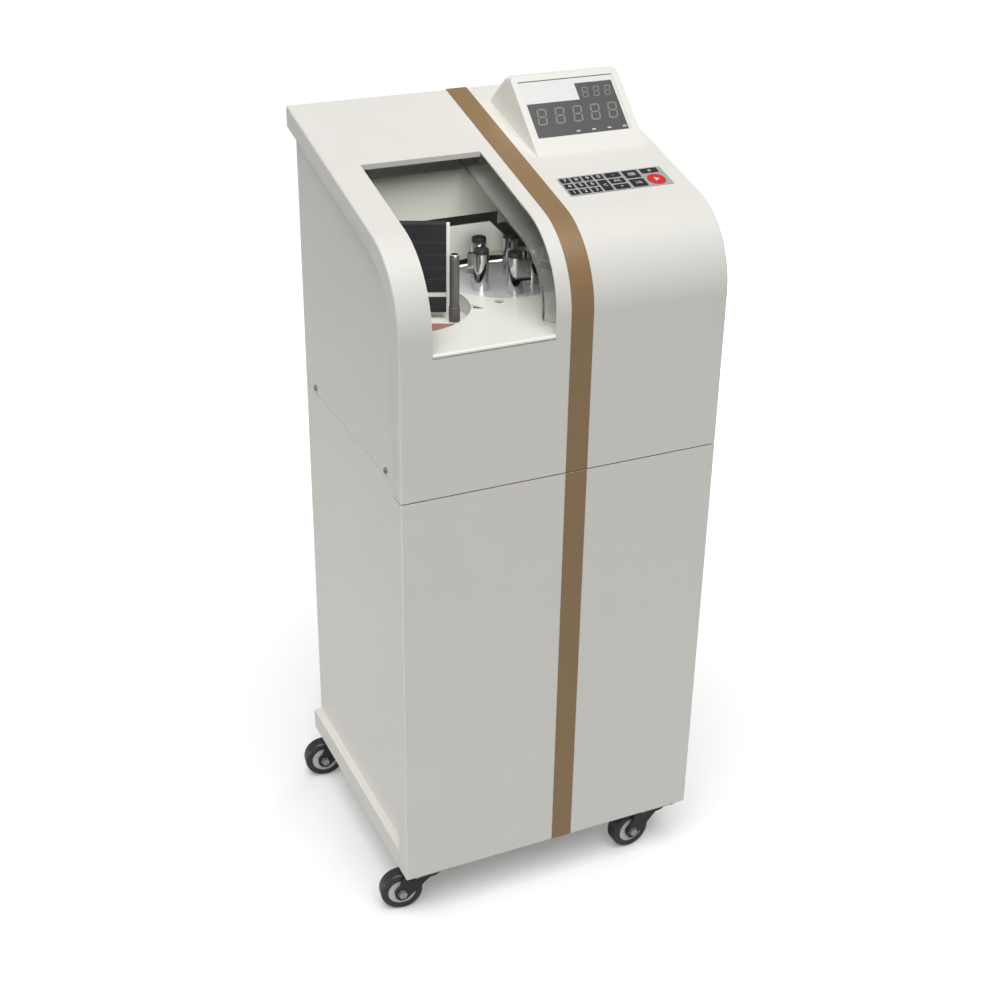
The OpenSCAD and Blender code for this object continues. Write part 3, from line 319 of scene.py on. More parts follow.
@dataclass(frozen=True)
class LayeredBoard(Finish):
    """Pressed cloth and resin: a woven tint under a hard matt face."""

    thread_mm: float = 1.4

    def add_mottle(self, surface: Surface) -> None:
        """Cross two sets of threads in the colour.

        Args:
            surface: The material's nodes.
        """
        waves = {"Scale": WAVE_PITCH / (self.thread_mm * MM), "Distortion": 1.5}
        warp, weft = (add_node(surface.tree, "ShaderNodeTexWave", waves, {"Vector": surface.place},
                               bands_direction=way).outputs["Fac"] for way in ("X", "Y"))
        weave = add_node(surface.tree, "ShaderNodeMath", None, {0: warp, 1: weft}, operation="MULTIPLY")
        self.blend_shades(surface, weave.outputs[0])


@dataclass(frozen=True)
class LitBackdrop(Finish):
    """Studio paper with lamps of its own: the camera sees it white, and it throws less light back."""

    own_light: float = 0.15

    def material(self) -> bpy.types.Material:
        """Make the material, and brighten it for the camera alone."""
        made = bpy.data.materials.get(self.name)
        if made is None:
            made = super().material()
            tree = made.node_tree
            white = linear("#FFFFFF")
            lit = add_node(tree, "ShaderNodeEmission", {"Color": white, "Strength": 1.0})
            plain = add_node(tree, "ShaderNodeBsdfDiffuse", {"Color": white})
            seen = add_node(tree, "ShaderNodeMixShader", {0: self.own_light},
                            {1: plain.outputs[0], 2: lit.outputs[0]})
            camera_ray = add_node(tree, "ShaderNodeLightPath").outputs["Is Camera Ray"]
            paper = add_node(tree, "ShaderNodeMixShader", None,
                             {0: camera_ray, 1: tree.nodes["Principled BSDF"].outputs[0], 2: seen.outputs[0]})
            tree.links.new(paper.outputs[0], tree.nodes["Material Output"].inputs["Surface"])
        return made


# Ivory powder coat on steel sheet: satin, with a faint orange peel
PAINT = Finish("powder_coated_steel_ivory", "cabinet_paint", "#E9E7E1", "#E5E3DC", 0.42, grain_mm=1.6,
               relief_mm=0.012, relief_share=0.25, mottle_mm=90.0)
# Bronze adhesive film: a satin metallic sheen with fine flake, drawn coarser than real flake
BRONZE_FILM = Finish("bronze_vinyl_film", "stripe_film", "#9B7F5B", "#947957", 0.34, metallic=0.05,
                     mottle_mm=1.2, grain_mm=0.8, relief_mm=0.006, relief_share=0.2)
# Zinc plated steel screws: bright grey with a cloudy passivation
SCREW_ZINC = Finish("zinc_plated_screw_steel", "screw_steel", "#A9ABAA", "#8E908F", 0.34, metallic=1.0,
                    mottle_mm=2.0, grain_mm=0.6, relief_mm=0.01)
# White printed polycarbonate label: even and matt
LABEL = Finish("matt_white_polycarbonate_label", "label_white", "#E4E4E2", "#DFDFDD", 0.5, mottle_mm=30.0,
               grain_mm=0.7, relief_mm=0.006)
# Smoked acrylic over unlit digits: dark grey with a clean gloss
FILTER = Finish("smoked_acrylic_filter", "smoked_filter", "#5C5B5A", "#616060", 0.16, mottle_mm=25.0,
                grain_mm=9.0, relief_mm=0.01, relief_share=0.1)
# Unlit display segments seen through the smoked sheet: dull grey
SEGMENT = Finish("unlit_led_segment_epoxy", "smoked_filter", "#918E8B", "#888582", 0.3, mottle_mm=4.0,
                 grain_mm=1.5, relief_mm=0.004)
# Glass fibre circuit board: green with a visible weave
BOARD = LayeredBoard("glass_fibre_circuit_board", "circuit_board", "#3F5A3A", "#4E6A45", 0.45)
# Silver printed membrane keypad: satin grey with a fine emboss
MEMBRANE = Finish("silver_membrane_polyester", "keypad_silver", "#B9BAB8", "#B1B2B0", 0.42, metallic=0.15,
                  mottle_mm=6.0, grain_mm=0.5, relief_mm=0.01)
# Black embossed polyester keys: fine matt texture
KEY_BLACK = Finish("black_embossed_polyester", "key_black", "#232325", "#2B2B2D", 0.46, mottle_mm=5.0,
                   grain_mm=0.5, relief_mm=0.015)
# Red embossed polyester key
KEY_RED = Finish("red_embossed_polyester", "key_red", "#D9252B", "#E03036", 0.42, mottle_mm=5.0,
                 grain_mm=0.5, relief_mm=0.015)
# White screen print: slightly chalky
PRINT = Finish("white_screen_print", "label_white", "#D6D6D4", "#CBCBC9", 0.55, mottle_mm=2.0, grain_mm=0.4,
               relief_mm=0.004)
# White powder coat inside the bay: a little cooler and smoother than the outside
BAY_PAINT = Finish("powder_coated_steel_white", "bay_white", "#DEDED7", "#D9D9D2", 0.38, grain_mm=1.6,
                   relief_mm=0.01, relief_share=0.2, mottle_mm=70.0)
# The bay's white powder coat made darker and warmer for the back wall: painted shade of the wall under the
# hood
BAY_PAINT_SHADED = Finish("powder_coated_steel_warm_grey", "bay_white", "#C3C2B9", "#BCBBB2", 0.45, grain_mm=1.6,
                    relief_mm=0.01, relief_share=0.2, mottle_mm=70.0)
# Black moulded nylon pad: fine spark texture
PAD = Finish("black_glass_filled_nylon", "pad_black", "#343439", "#3D3D43", 0.5, mottle_mm=8.0,
             grain_mm=0.8, relief_mm=0.03)
# Light grey strips in the pad's grooves: painted highlight where the grooves' lips catch the light
GROOVE_HIGHLIGHT_PAINT = Finish("grey_silicone_strip", "pad_black", "#A4A4AA", "#B0B0B6", 0.55, mottle_mm=4.0, grain_mm=0.5,
               relief_mm=0.02)
# Zinc plated sector plate: brushed light grey
SECTOR = BrushedMetal("brushed_zinc_plate", "clamp_grey", "#EDEEEA", "#E3E4E0", 0.4, metallic=0.1,
                      mottle_mm=12.0, grain_mm=0.7, relief_mm=0.01)
# Dark grey rubber sleeve: dull, with a slight bloom
SLEEVE = Finish("dark_grey_nitrile_rubber", "pad_black", "#4A4A48", "#555553", 0.45, mottle_mm=5.0,
                grain_mm=0.6, relief_mm=0.03)
# Pink-brown pressed board on the clamp's sector
PRESSED_BOARD = LayeredBoard("phenolic_cloth_board", "clamp_grey", "#A47868", "#936655", 0.5)
# Polished hard chrome on the spindles: a mirror with slight haze
CHROME = Finish("polished_chrome_plate", "spindle_chrome", "#DADCDD", "#CDD0D1", 0.07, metallic=1.0,
                mottle_mm=9.0, grain_mm=4.0, relief_mm=0.006, relief_share=0.1)
# Black moulded caps on the spindles
CAP = Finish("black_acetal_cap", "pad_black", "#2B2B2D", "#353537", 0.4, mottle_mm=3.0, grain_mm=0.5,
             relief_mm=0.02)
# Clear acrylic door: faint grey tint, polished, with the haze of a wiped sheet
ACRYLIC = ClearSheet("clear_cast_acrylic", "door_clear", "#FAFAF8", "#F6F6F4", 0.02, mottle_mm=120.0,
                     grain_mm=60.0, relief_mm=0.01, relief_share=0.05)
# Grey strip along the acrylic's free edge: painted dark line standing in for the light that the clear sheet's
# edge bends away
EDGE_LINE_PAINT = Finish("flame_polished_acrylic_edge", "door_clear", "#8C8A84", "#807E78", 0.18, mottle_mm=6.0,
              grain_mm=1.0, relief_mm=0.01)
# Ground steel guide rod: bright, with fine cross lines
ROD = BrushedMetal("ground_steel_rod", "rod_steel", "#B4B6B7", "#A5A7A8", 0.24, metallic=1.0, grain_mm=0.8,
                   relief_mm=0.006, stretch=(1.0, 0.05, 0.05))
# Grey hammered paint on the inner frame
FRAME_PAINT = Finish("grey_hammered_paint", "frame_grey", "#9A9FA2", "#8D9296", 0.48, mottle_mm=10.0,
                     grain_mm=3.0, relief_mm=0.06, relief_share=0.5)
# Cast and painted motor housing
MOTOR_CAST = Finish("painted_cast_aluminium", "motor_grey", "#6E7375", "#64696B", 0.55, mottle_mm=14.0,
                    grain_mm=1.5, relief_mm=0.08, relief_share=0.5)
# Dark cast iron pump
PUMP_CAST = Finish("painted_cast_iron", "pump_dark", "#4B5052", "#42474A", 0.6, mottle_mm=14.0,
                   grain_mm=1.8, relief_mm=0.1, relief_share=0.6)
# Black reinforced hose
HOSE = Finish("black_reinforced_rubber", "hose_rubber", "#232425", "#2B2C2D", 0.7, mottle_mm=6.0,
              grain_mm=0.9, relief_mm=0.05)
# Black thermoplastic inlet
INLET = Finish("black_polyamide_inlet", "inlet_black", "#242426", "#2C2C2E", 0.44, mottle_mm=6.0,
               grain_mm=0.6, relief_mm=0.02)
# Nickel plated contact pins
PIN = Finish("nickel_plated_brass", "screw_steel", "#C9C2AE", "#BDB59F", 0.25, metallic=1.0, mottle_mm=3.0,
             grain_mm=0.8, relief_mm=0.005)
# Zinc plated caster plates and bolts
CASTER_ZINC = Finish("zinc_plated_pressed_steel", "caster_zinc", "#B7BABB", "#A6A9AA", 0.36, metallic=0.5,
                     mottle_mm=7.0, grain_mm=0.9, relief_mm=0.015)
# Black painted caster forks: semi-gloss
FORK = Finish("black_enamelled_steel", "fork_black", "#262628", "#2F2F31", 0.36, mottle_mm=10.0,
              grain_mm=1.4, relief_mm=0.02)
# Black rubber tyres: dull with grey scuffing
TYRE = Finish("black_moulded_tyre_rubber", "wheel_rubber", "#303032", "#3F3F42", 0.36, mottle_mm=7.0,
              grain_mm=0.7, relief_mm=0.03)
# Light grey nylon ring in the wheel's face
WHEEL_RING = Finish("light_grey_nylon", "caster_zinc", "#E3E4E5", "#D8D9DA", 0.4, mottle_mm=6.0,
                    grain_mm=0.8, relief_mm=0.02)
# Pale studio paper
PAPER = LitBackdrop("matt_studio_paper", "", "#B9B9B9", "#B5B5B5", 0.9, mottle_mm=400.0, grain_mm=8.0,
                    relief_mm=0.02, relief_share=0.1)


# Geometry helpers

def joint(name: str) -> dict:
    """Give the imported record's row of one joint."""
    return next(row for row in frame["joints"] if row["name"] == name)


def cad_copy(node: str) -> Mesh:
    """Copy a CAD node's mesh, with its loose triangles merged into clean faces.

    Args:
        node: The CAD node's name.

    Returns:
        A mesh in the shared frame.
    """
    bm = bmesh.new()
    bm.from_mesh(frame["nodes"][node].data)
    bmesh.ops.remove_doubles(bm, verts=bm.verts, dist=CAD_MERGE * MM)
    bmesh.ops.dissolve_limit(bm, angle_limit=math.radians(FLAT_DEG), verts=bm.verts, edges=bm.edges)
    return bm


def soften(bm: Mesh, edge: Edge, pick: Callable[[bmesh.types.BMEdge], bool] | None = None,
           segments: int = 3, sharper_than: float = 35.0) -> None:
    """Round the sharp outer edges of a mesh.

    Args:
        bm: The mesh.
        edge: Radius of the rounding.
        pick: Test that an edge has to pass, or None for every sharp edge.
        segments: Facets across the rounding.
        sharper_than: Least angle between an edge's faces, in degrees.
    """
    least = math.radians(sharper_than)
    edges = [e for e in bm.edges if len(e.link_faces) == 2 and e.calc_face_angle() > least]
    edges = [e for e in edges if pick is None or pick(e)]
    bmesh.ops.bevel(bm, geom=edges, offset=edge.value * MM, segments=segments, profile=0.5, affect="EDGES",
                    clamp_overlap=True, material=-1)


def arc(centre: Point2, radius: float, start: float, end: float, steps: int = 6) -> list[Point2]:
    """Give points along an arc.

    Args:
        centre: The arc's centre.
        radius: The arc's radius.
        start: First angle, in degrees.
        end: Last angle, in degrees.
        steps: Number of chords.

    Returns:
        The points from the first angle to the last.
    """
    angles = [math.radians(start + (end - start) * i / steps) for i in range(steps + 1)]
    return [(centre[0] + radius * math.cos(a), centre[1] + radius * math.sin(a)) for a in angles]


def spun(bm: Mesh, outline: list[Point2], place: Matrix, steps: int = 64,
         degrees: float = 360.0) -> None:
    """Spin a closed outline round a frame's Z axis.

    Args:
        bm: The mesh that takes the new faces.
        outline: Radius and height of each corner, in millimetres.
        place: The frame; a radius starts along its X axis.
        steps: Facets of the spin.
        degrees: Angle of the spin; less than a full turn gets closed ends.
    """
    verts = [bm.verts.new(place @ Vector((r * MM, 0.0, h * MM))) for r, h in outline]
    face = bm.faces.new(verts)
    full = degrees >= 360.0
    geom: list = verts + list(face.edges) + ([] if full else [face])
    if full:
        bm.faces.remove(face)
    bmesh.ops.spin(bm, geom=geom, cent=place.translation, axis=place.col[2].xyz,
                   angle=math.radians(degrees), steps=steps, use_merge=full)
    bmesh.ops.remove_doubles(bm, verts=bm.verts, dist=SEAM_MERGE * MM)
    bmesh.ops.dissolve_degenerate(bm, edges=bm.edges, dist=SEAM_MERGE / 2 * MM)
    bmesh.ops.recalc_face_normals(bm, faces=bm.faces)


def prism(bm: Mesh, outline: list[Point2], place: Matrix, height: float) -> None:
    """Raise a flat outline into a plate.

    Args:
        bm: The mesh that takes the plate.
        outline: Corners in order, in millimetres.
        place: The plate's frame; it rises along Z.
        height: The plate's thickness, in millimetres.
    """
    face = bm.faces.new([bm.verts.new(place @ Vector((x * MM, y * MM, 0.0))) for x, y in outline])
    top = bmesh.ops.extrude_face_region(bm, geom=[face], use_keep_orig=True)["geom"]
    bmesh.ops.translate(bm, vec=place.col[2].xyz * height * MM,
                        verts=[v for v in top if isinstance(v, bmesh.types.BMVert)])
    bmesh.ops.recalc_face_normals(bm, faces=bm.faces)


def keep_side(bm: Mesh, at: Vector, normal: Vector, above: bool) -> None:
    """Cut a mesh at a plane, keep one side and close the cut.

    Args:
        bm: The mesh.
        at: A point of the plane.
        normal: The plane's direction.
        above: Whether the side that the normal points to is kept.
    """
    bmesh.ops.bisect_plane(bm, geom=[*bm.verts, *bm.edges, *bm.faces], plane_co=at, plane_no=normal,
                           clear_inner=above, clear_outer=not above)
    bmesh.ops.holes_fill(bm, edges=[e for e in bm.edges if e.is_boundary])


def slab(bm: Mesh, place: Matrix, size: Point3, round_mm: float = 0.0) -> None:
    """Add a block with its middle at a frame's origin.

    Args:
        bm: The mesh that takes the block.
        place: The block's frame, which may lean.
        size: Length of each side, in millimetres.
        round_mm: Radius of the edges, or zero.
    """
    made = bmesh.ops.create_cube(bm, size=MM, matrix=place @ Matrix.Diagonal((*size, 1.0)))
    if round_mm:
        edges = list({e for v in made["verts"] for e in v.link_edges})
        bmesh.ops.bevel(bm, geom=edges, offset=round_mm * MM, segments=2, profile=0.5, affect="EDGES",
                        clamp_overlap=True, material=-1)


def upright(x: float, y: float, z: float) -> Matrix:
    """Frame at a point of the shared frame, in metres, with its axes along the shared ones."""
    return Matrix.Translation((x, y, z))


def axis_frame(at: Iterable[float], axis: Iterable[float], start: Iterable[float]) -> Matrix:
    """Make a frame from its Z axis and the direction its X axis leans to.

    Args:
        at: The origin, in metres.
        axis: Direction of Z.
        start: Direction near X.

    Returns:
        The frame.
    """
    z = Vector(axis).normalized()
    y = z.cross(Vector(start)).normalized()
    x = y.cross(z)
    return Matrix.Translation(Vector(at)) @ Matrix((x, y, z)).transposed().to_4x4()


@dataclass(frozen=True)
class TopFace:
    """A tilted node's upper face: a frame at its middle with Z outwards, and its sides in millimetres."""

    place: Matrix
    width: float
    depth: float

    @classmethod
    def of(cls, node: str, tilt: float) -> "TopFace":
        """Measure a node that is tilted about X.

        Args:
            node: The CAD node's name.
            tilt: Its tilt, in degrees.

        Returns:
            The node's upper face.
        """
        turn = Matrix.Rotation(math.radians(tilt), 4, "X")
        level = turn.inverted()
        points = [level @ v.co for v in frame["nodes"][node].data.vertices]
        low = [min(p[i] for p in points) for i in range(3)]
        high = [max(p[i] for p in points) for i in range(3)]
        middle = Vector(((low[0] + high[0]) / 2, (low[1] + high[1]) / 2, high[2]))
        return cls(turn @ Matrix.Translation(middle), (high[0] - low[0]) / MM, (high[1] - low[1]) / MM)

    def at(self, x: float, y: float, rise: float = 0.0) -> Matrix:
        """Frame at a place on the face, in millimetres from its left lower corner.

        Args:
            x: Distance from the left edge.
            y: Distance from the lower edge.
            rise: Height above the face.

        Returns:
            The frame, with Z outwards.
        """
        offset = Vector(((x - self.width / 2) * MM, (y - self.depth / 2) * MM, rise * MM))
        return self.place @ Matrix.Translation(offset)


def add_sign(bm: Mesh, sign: str, place: Matrix, height_mm: float, thick_mm: float) -> None:
    """Add a printed sign as a thin mesh.

    Args:
        bm: The mesh that takes the sign.
        sign: A number or a plain sign.
        place: Frame of the sign's middle, with Z out of the surface.
        height_mm: Height of the letter body.
        thick_mm: Thickness of the print.
    """
    curve = bpy.data.curves.new("sign", "FONT")
    curve.body = sign
    curve.align_x = "CENTER"
    curve.align_y = "CENTER"
    curve.size = height_mm * MM
    curve.extrude = thick_mm * MM / 2
    curve.offset = SIGN_WEIGHT * height_mm * MM
    curve.resolution_u = 4
    holder = bpy.data.objects.new("sign", curve)
    bpy.context.scene.collection.objects.link(holder)
    solid = bpy.data.meshes.new_from_object(holder.evaluated_get(bpy.context.evaluated_depsgraph_get()))
    solid.transform(place @ Matrix.Translation((0.0, 0.0, thick_mm * MM / 2)))
    bm.from_mesh(solid)
    bpy.data.objects.remove(holder)
    bpy.data.curves.remove(curve)
    bpy.data.meshes.remove(solid)
    bmesh.ops.remove_doubles(bm, verts=bm.verts, dist=SEAM_MERGE * MM)


def add_piece(name: str, bm: Mesh, finish: Finish, body: str = Body.CABINET,
              stands_for: Iterable[str] = (), smooth: float = 32.0) -> bpy.types.Object:
    """Make a finished piece from a mesh, and set it on its CAD body.

    Args:
        name: The piece's name.
        bm: Its mesh, in the shared frame; it is freed.
        finish: Its surface.
        body: The CAD body that carries it.
        stands_for: CAD nodes that it replaces.
        smooth: Largest angle between faces that are shaded as one, in degrees.

    Returns:
        The new object.
    """
    mesh = bpy.data.meshes.new(name)
    bm.to_mesh(mesh)
    bm.free()
    mesh.shade_smooth()
    mesh.set_sharp_from_angle(angle=math.radians(smooth))
    mesh.materials.append(finish.material())
    piece = bpy.data.objects.new(name, mesh)
    bpy.context.scene.collection.objects.link(piece)
    weighted = piece.modifiers.new("even_shading", "WEIGHTED_NORMAL")
    weighted.keep_sharp = True
    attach(piece, str(body))
    if stands_for:
        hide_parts(*stands_for)
    LOG.info("%s on %s: %s", name, body, finish.name)
    return piece


def dress(node: str, finish: Finish) -> None:
    """Give a CAD node that stays in view its finish.

    Args:
        node: The CAD node's name.
        finish: Its surface.
    """
    materials = frame["nodes"][node].data.materials
    materials.clear()
    materials.append(finish.material())
    LOG.info("%s kept from the frame: %s", node, finish.name)


def dressed_copy(node: str, name: str, finish: Finish, edge: Edge | None = None,
                 body: str = Body.CABINET) -> None:
    """Replace a CAD node by a copy with rounded edges and smooth curves.

    Args:
        node: The CAD node's name.
        name: The new piece's name.
        finish: Its surface.
        edge: The rounding of its edges, or None to leave them.
        body: The CAD body that carries it.
    """
    bm = cad_copy(node)
    if edge:
        soften(bm, edge, segments=2)
    add_piece(name, bm, finish, body, [node])


# Sub-assemblies

@dataclass
class Cabinet:
    """Folded steel sheets of the body, the stripe and the case screws."""

    touch_mm: float = 0.02
    fold_mm: float = 5.0
    seam_drop: float = 0.8
    facing: float = 0.5

    def build(self) -> None:
        """Make the sheets and the parts fixed to them."""
        self.build_hood()
        self.build_front()
        for node, name in (("left_side_panel", "left_wall"), ("right_side_panel", "right_wall"),
                           ("rear_panel", "rear_sheet"), ("base_tray", "plinth_frame")):
            dressed_copy(node, name, PAINT, Edge.CUT_SHEET)
        dressed_copy("case_screws", "case_screw_set", SCREW_ZINC, Edge.MACHINED)

    def build_front(self) -> None:
        """Make the lower front and the stripe, with the fold at the seam a little low, so that it shows."""
        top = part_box("front_panel")[1].z
        for node, name, finish, edge in (("front_panel", "front_sheet", PAINT, Edge.CUT_SHEET),
                                         ("stripes", "stripe_film", BRONZE_FILM, None)):
            bm = cad_copy(node)
            for vert in bm.verts:
                if top - self.fold_mm * MM < vert.co.z < top + self.touch_mm * MM:
                    vert.co.z -= self.seam_drop * MM
            if edge:
                soften(bm, edge, segments=2)
            add_piece(name, bm, finish, stands_for=[node])

    def build_hood(self) -> None:
        """Round the hood's long folds at either side."""
        low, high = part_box("hood")

        def on_fold(edge: bmesh.types.BMEdge) -> bool:
            """Tell whether an edge is an outer fold along the hood's side."""
            sides = [min(v.co.x - low.x, high.x - v.co.x) for v in edge.verts]
            outer = [f.normal for f in edge.link_faces if abs(f.normal.x) < self.facing]
            faces_out = bool(outer) and outer[0].y < self.facing and outer[0].z > -self.facing
            return max(sides) < self.touch_mm * MM and faces_out

        bm = cad_copy("hood")
        soften(bm, Edge.FOLDED_SHEET, on_fold)
        add_piece("hood_shell", bm, PAINT, stands_for=["hood"])


@dataclass
class DisplayConsole:
    """Console on the hood: its shell, label, smoked filter and unlit digits. Sizes in millimetres."""

    tilt: float = 41.7
    corner: float = 6.2
    digits: int = 5
    digit_h: float = 22.0
    digit_x: float = 13.8
    digit_u: float = 27.6
    digit_pitch: float = 23.2
    small_digits: int = 3
    small_h: float = 14.0
    small_x: float = 79.5
    small_u: float = 55.3
    small_pitch: float = 14.9
    lamps: int = 4
    lamp_x: float = 53.1
    lamp_u: float = 4.4
    lamp_pitch: float = 20.4
    lamp_size: Point2 = (5.0, 1.8)
    lean: float = 11.0
    digit_share: float = 0.56
    bar_share: float = 0.085
    bar_gaps: Point2 = (2.2, 1.2)
    line_w: float = 0.8
    print_t: float = 0.04

    def build(self) -> None:
        """Make the console's pieces."""
        self.build_shell()
        dressed_copy("display_face", "console_label", LABEL)
        dressed_copy("display_filter", "console_filter", FILTER)
        dress("display_board", BOARD)
        self.build_digits()
        self.build_label_line()

    def build_shell(self) -> None:
        """Round the console's outer edges, but not the label's recess."""
        low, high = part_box("display_housing")
        reach = self.corner * MM

        def on_outside(edge: bmesh.types.BMEdge) -> bool:
            """Tell whether an edge runs along one of the console's sides."""
            return edge.is_convex and all(min(v.co.x - low.x, high.x - v.co.x) < reach for v in edge.verts)

        bm = cad_copy("display_housing")
        soften(bm, Edge.CONSOLE_SHEET, on_outside, sharper_than=50.0)
        add_piece("console_shell", bm, PAINT, stands_for=["display_housing"])

    def add_digit(self, bm: Mesh, place: Matrix, height: float) -> None:
        """Add the seven bars of a digit.

        Args:
            bm: The mesh that takes the bars.
            place: Frame of the digit's middle.
            height: The digit's height.
        """
        width, bar = self.digit_share * height, self.bar_share * height
        gap_x, gap_y = self.bar_gaps
        slant = Matrix.Identity(4)
        slant[0][1] = math.tan(math.radians(self.lean))
        bars = [((0.0, level * (height - bar) / 2), (width - gap_x * bar, bar)) for level in (-1, 0, 1)]
        bars += [((side * (width - bar) / 2, level * height / 4), (bar, height / 2 - gap_y * bar))
                 for side in (-1, 1) for level in (-1, 1)]
        for (x, y), size in bars:
            slab(bm, place @ slant @ Matrix.Translation((x * MM, y * MM, 0.0)), (*size, self.print_t))

    def build_label_line(self) -> None:
        """Draw a dark strip along the label's upper edge: painted shadow of the recess's upper lip."""
        face = TopFace.of("display_face", self.tilt)
        bm = bmesh.new()
        slab(bm, face.at(face.width / 2, face.depth - self.line_w / 2, self.print_t / 2),
             (face.width, self.line_w, self.print_t))
        # Painted shadow: a thin dark strip laid on the label where the recess's lip throws shade
        add_piece("label_upper_gap", bm, CAP)

    def build_digits(self) -> None:
        """Draw the unlit digits on the filter, and a plain mark for each lamp."""
        face = TopFace.of("display_filter", self.tilt)
        bm = bmesh.new()
        rise = self.print_t / 2
        for i in range(self.digits):
            self.add_digit(bm, face.at(self.digit_x + i * self.digit_pitch, self.digit_u, rise), self.digit_h)
        for i in range(self.small_digits):
            self.add_digit(bm, face.at(self.small_x + i * self.small_pitch, self.small_u, rise), self.small_h)
        add_piece("unlit_segments", bm, SEGMENT)
        marks = bmesh.new()
        for i in range(self.lamps):
            middle = face.at(self.lamp_x + i * self.lamp_pitch, self.lamp_u, rise)
            slab(marks, middle, (*self.lamp_size, self.print_t))
        add_piece("lamp_marks", marks, PRINT)


@dataclass
class Keypad:
    """Membrane keypad: its frame, the keys and the signs printed on them. Sizes in millimetres."""

    tilt: float = 13.7
    sign_h: float = 8.4
    wide_sign_h: float = 6.8
    print_t: float = 0.04
    round_key: str = "key_start"
    bar_w: float = 9.0
    bar_t: float = 1.1

    def build(self) -> None:
        """Make the frame, the keys and their signs."""
        dressed_copy("keypad_plate", "keypad_frame", MEMBRANE, Edge.EMBOSSED)
        for key in sorted(n for n in frame["nodes"] if n.startswith("key_")):
            finish = KEY_RED if key == self.round_key else KEY_BLACK
            dressed_copy(key, f"{key}_cap", finish, Edge.MOULDED, key)
            bm = bmesh.new()
            self.add_key_sign(bm, key)
            add_piece(f"{key}_print", bm, PRINT, key)

    def add_key_sign(self, bm: Mesh, key: str) -> None:
        """Print a key's number, or a plain sign where it has none.

        Args:
            bm: The mesh that takes the print.
            key: The key's node.
        """
        signs = {"tall": "C", "function_1": "+", "function_2": "AC", "function_3": "-",
                 "mode_1": "1/2", "batch": "#"}
        label = key.removeprefix("key_")
        face = TopFace.of(key, self.tilt)
        if label.isdigit():
            add_sign(bm, label, face.place, self.sign_h, self.print_t)
        elif label in signs:
            add_sign(bm, signs[label], face.place, self.wide_sign_h, self.print_t)
        elif key == self.round_key:
            wedge = [(0.0, 0.0), (self.bar_w / 2, 0.0), (self.bar_w / 2, self.print_t), (0.0, self.print_t)]
            spun(bm, wedge, face.place, steps=3)
        else:
            for i in (-1, 0, 1):
                middle = face.at(face.width / 2, face.depth / 2 + 2 * i * self.bar_t, self.print_t / 2)
                slab(bm, middle, (self.bar_w, self.bar_t, self.print_t))


@dataclass
class CountingBay:
    """White deck and back wall, the ribbed note pad and the light sensor. Sizes in millimetres."""

    pad_x: float = -88.0
    pad_y: float = 138.0
    pad_turn: float = -22.3
    pad_len: float = 94.0
    groove_z: float = 24.9
    groove_pitch: float = 15.2
    grooves: int = 4
    groove_h: float = 1.6
    groove_deep: float = 2.5
    slot_z: float = 5.5
    slot_h: float = 5.5
    slot_deep: float = 1.0
    strip_t: float = 0.8
    strip_short: float = 1.0
    strip_play: float = 0.1
    sensor_x: float = -32.0
    sensor_y: float = 116.0
    sensor_r: float = 4.8
    lens_rim: float = 1.0
    lens_dome: float = 1.414
    screen_gap: float = 0.6

    def build(self) -> None:
        """Make the bay's pieces."""
        self.build_deck()
        # Painted shade: the back wall takes a darker copy of the bay's white paint
        dressed_copy("bay_liner", "bay_back_wall", BAY_PAINT_SHADED, Edge.CUT_SHEET)
        dressed_copy("note_plate", "note_pad", PAD, Edge.PRESSED)
        dressed_copy("note_back_plate", "note_pad_back", BAY_PAINT, Edge.CUT_SHEET)
        self.build_sensor()
        self.build_pad_strips()

    def build_deck(self) -> None:
        """Make the deck, and the screen that stands up from its back edge as a piece of its own."""
        deck_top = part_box("bay_liner")[0].z
        cut = Vector((0.0, 0.0, deck_top + self.screen_gap * MM))
        for name, above, nodes in (("bay_deck", False, ["deck_plate"]), ("bay_screen", True, [])):
            bm = cad_copy("deck_plate")
            soften(bm, Edge.CUT_SHEET, segments=2)
            keep_side(bm, cut, Vector((0.0, 0.0, 1.0)), above)
            add_piece(name, bm, BAY_PAINT, stands_for=nodes)

    def build_pad_strips(self) -> None:
        """Line the pad's grooves with light grey strips as painted highlight of their lips, and its light
        slot with a white strip.
        """
        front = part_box("front_panel")[0].y
        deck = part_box("bay_liner")[0].z
        pad = upright(self.pad_x * MM, front + self.pad_y * MM, deck) @ Matrix.Rotation(
            math.radians(self.pad_turn), 4, "Z")
        length, thick, deep = self.pad_len - self.strip_short, self.strip_t, self.groove_deep
        # Painted highlight: light grey strips along the grooves, where the lips would catch the light
        grey = bmesh.new()
        for i in range(self.grooves):
            z = self.groove_z + i * self.groove_pitch + self.groove_h / 2
            at = Vector((-self.pad_len / 2, deep - thick / 2, z)) * MM
            slab(grey, pad @ Matrix.Translation(at), (length, thick, self.groove_h - self.strip_play))
        add_piece("pad_groove_strips", grey, GROOVE_HIGHLIGHT_PAINT)
        white = bmesh.new()
        at = Vector((-self.pad_len / 2, self.slot_deep + thick / 2, self.slot_z + self.slot_h / 2)) * MM
        slab(white, pad @ Matrix.Translation(at), (length, thick, self.slot_h - self.strip_play))
        add_piece("pad_slot_strip", white, BAY_PAINT)

    def build_sensor(self) -> None:
        """Set a domed lens in the deck's round hole."""
        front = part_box("front_panel")[0].y
        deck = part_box("deck_plate")[0].z
        place = upright(self.sensor_x * MM, front + self.sensor_y * MM, deck)
        r, rim = self.sensor_r, self.lens_rim
        bm = bmesh.new()
        dome = arc((0.0, rim - r), self.lens_dome * r, 45, 90)
        spun(bm, [(0.0, -rim), (r, -rim), (r, rim), *dome], place, 32)
        add_piece("note_sensor_lens", bm, CAP)


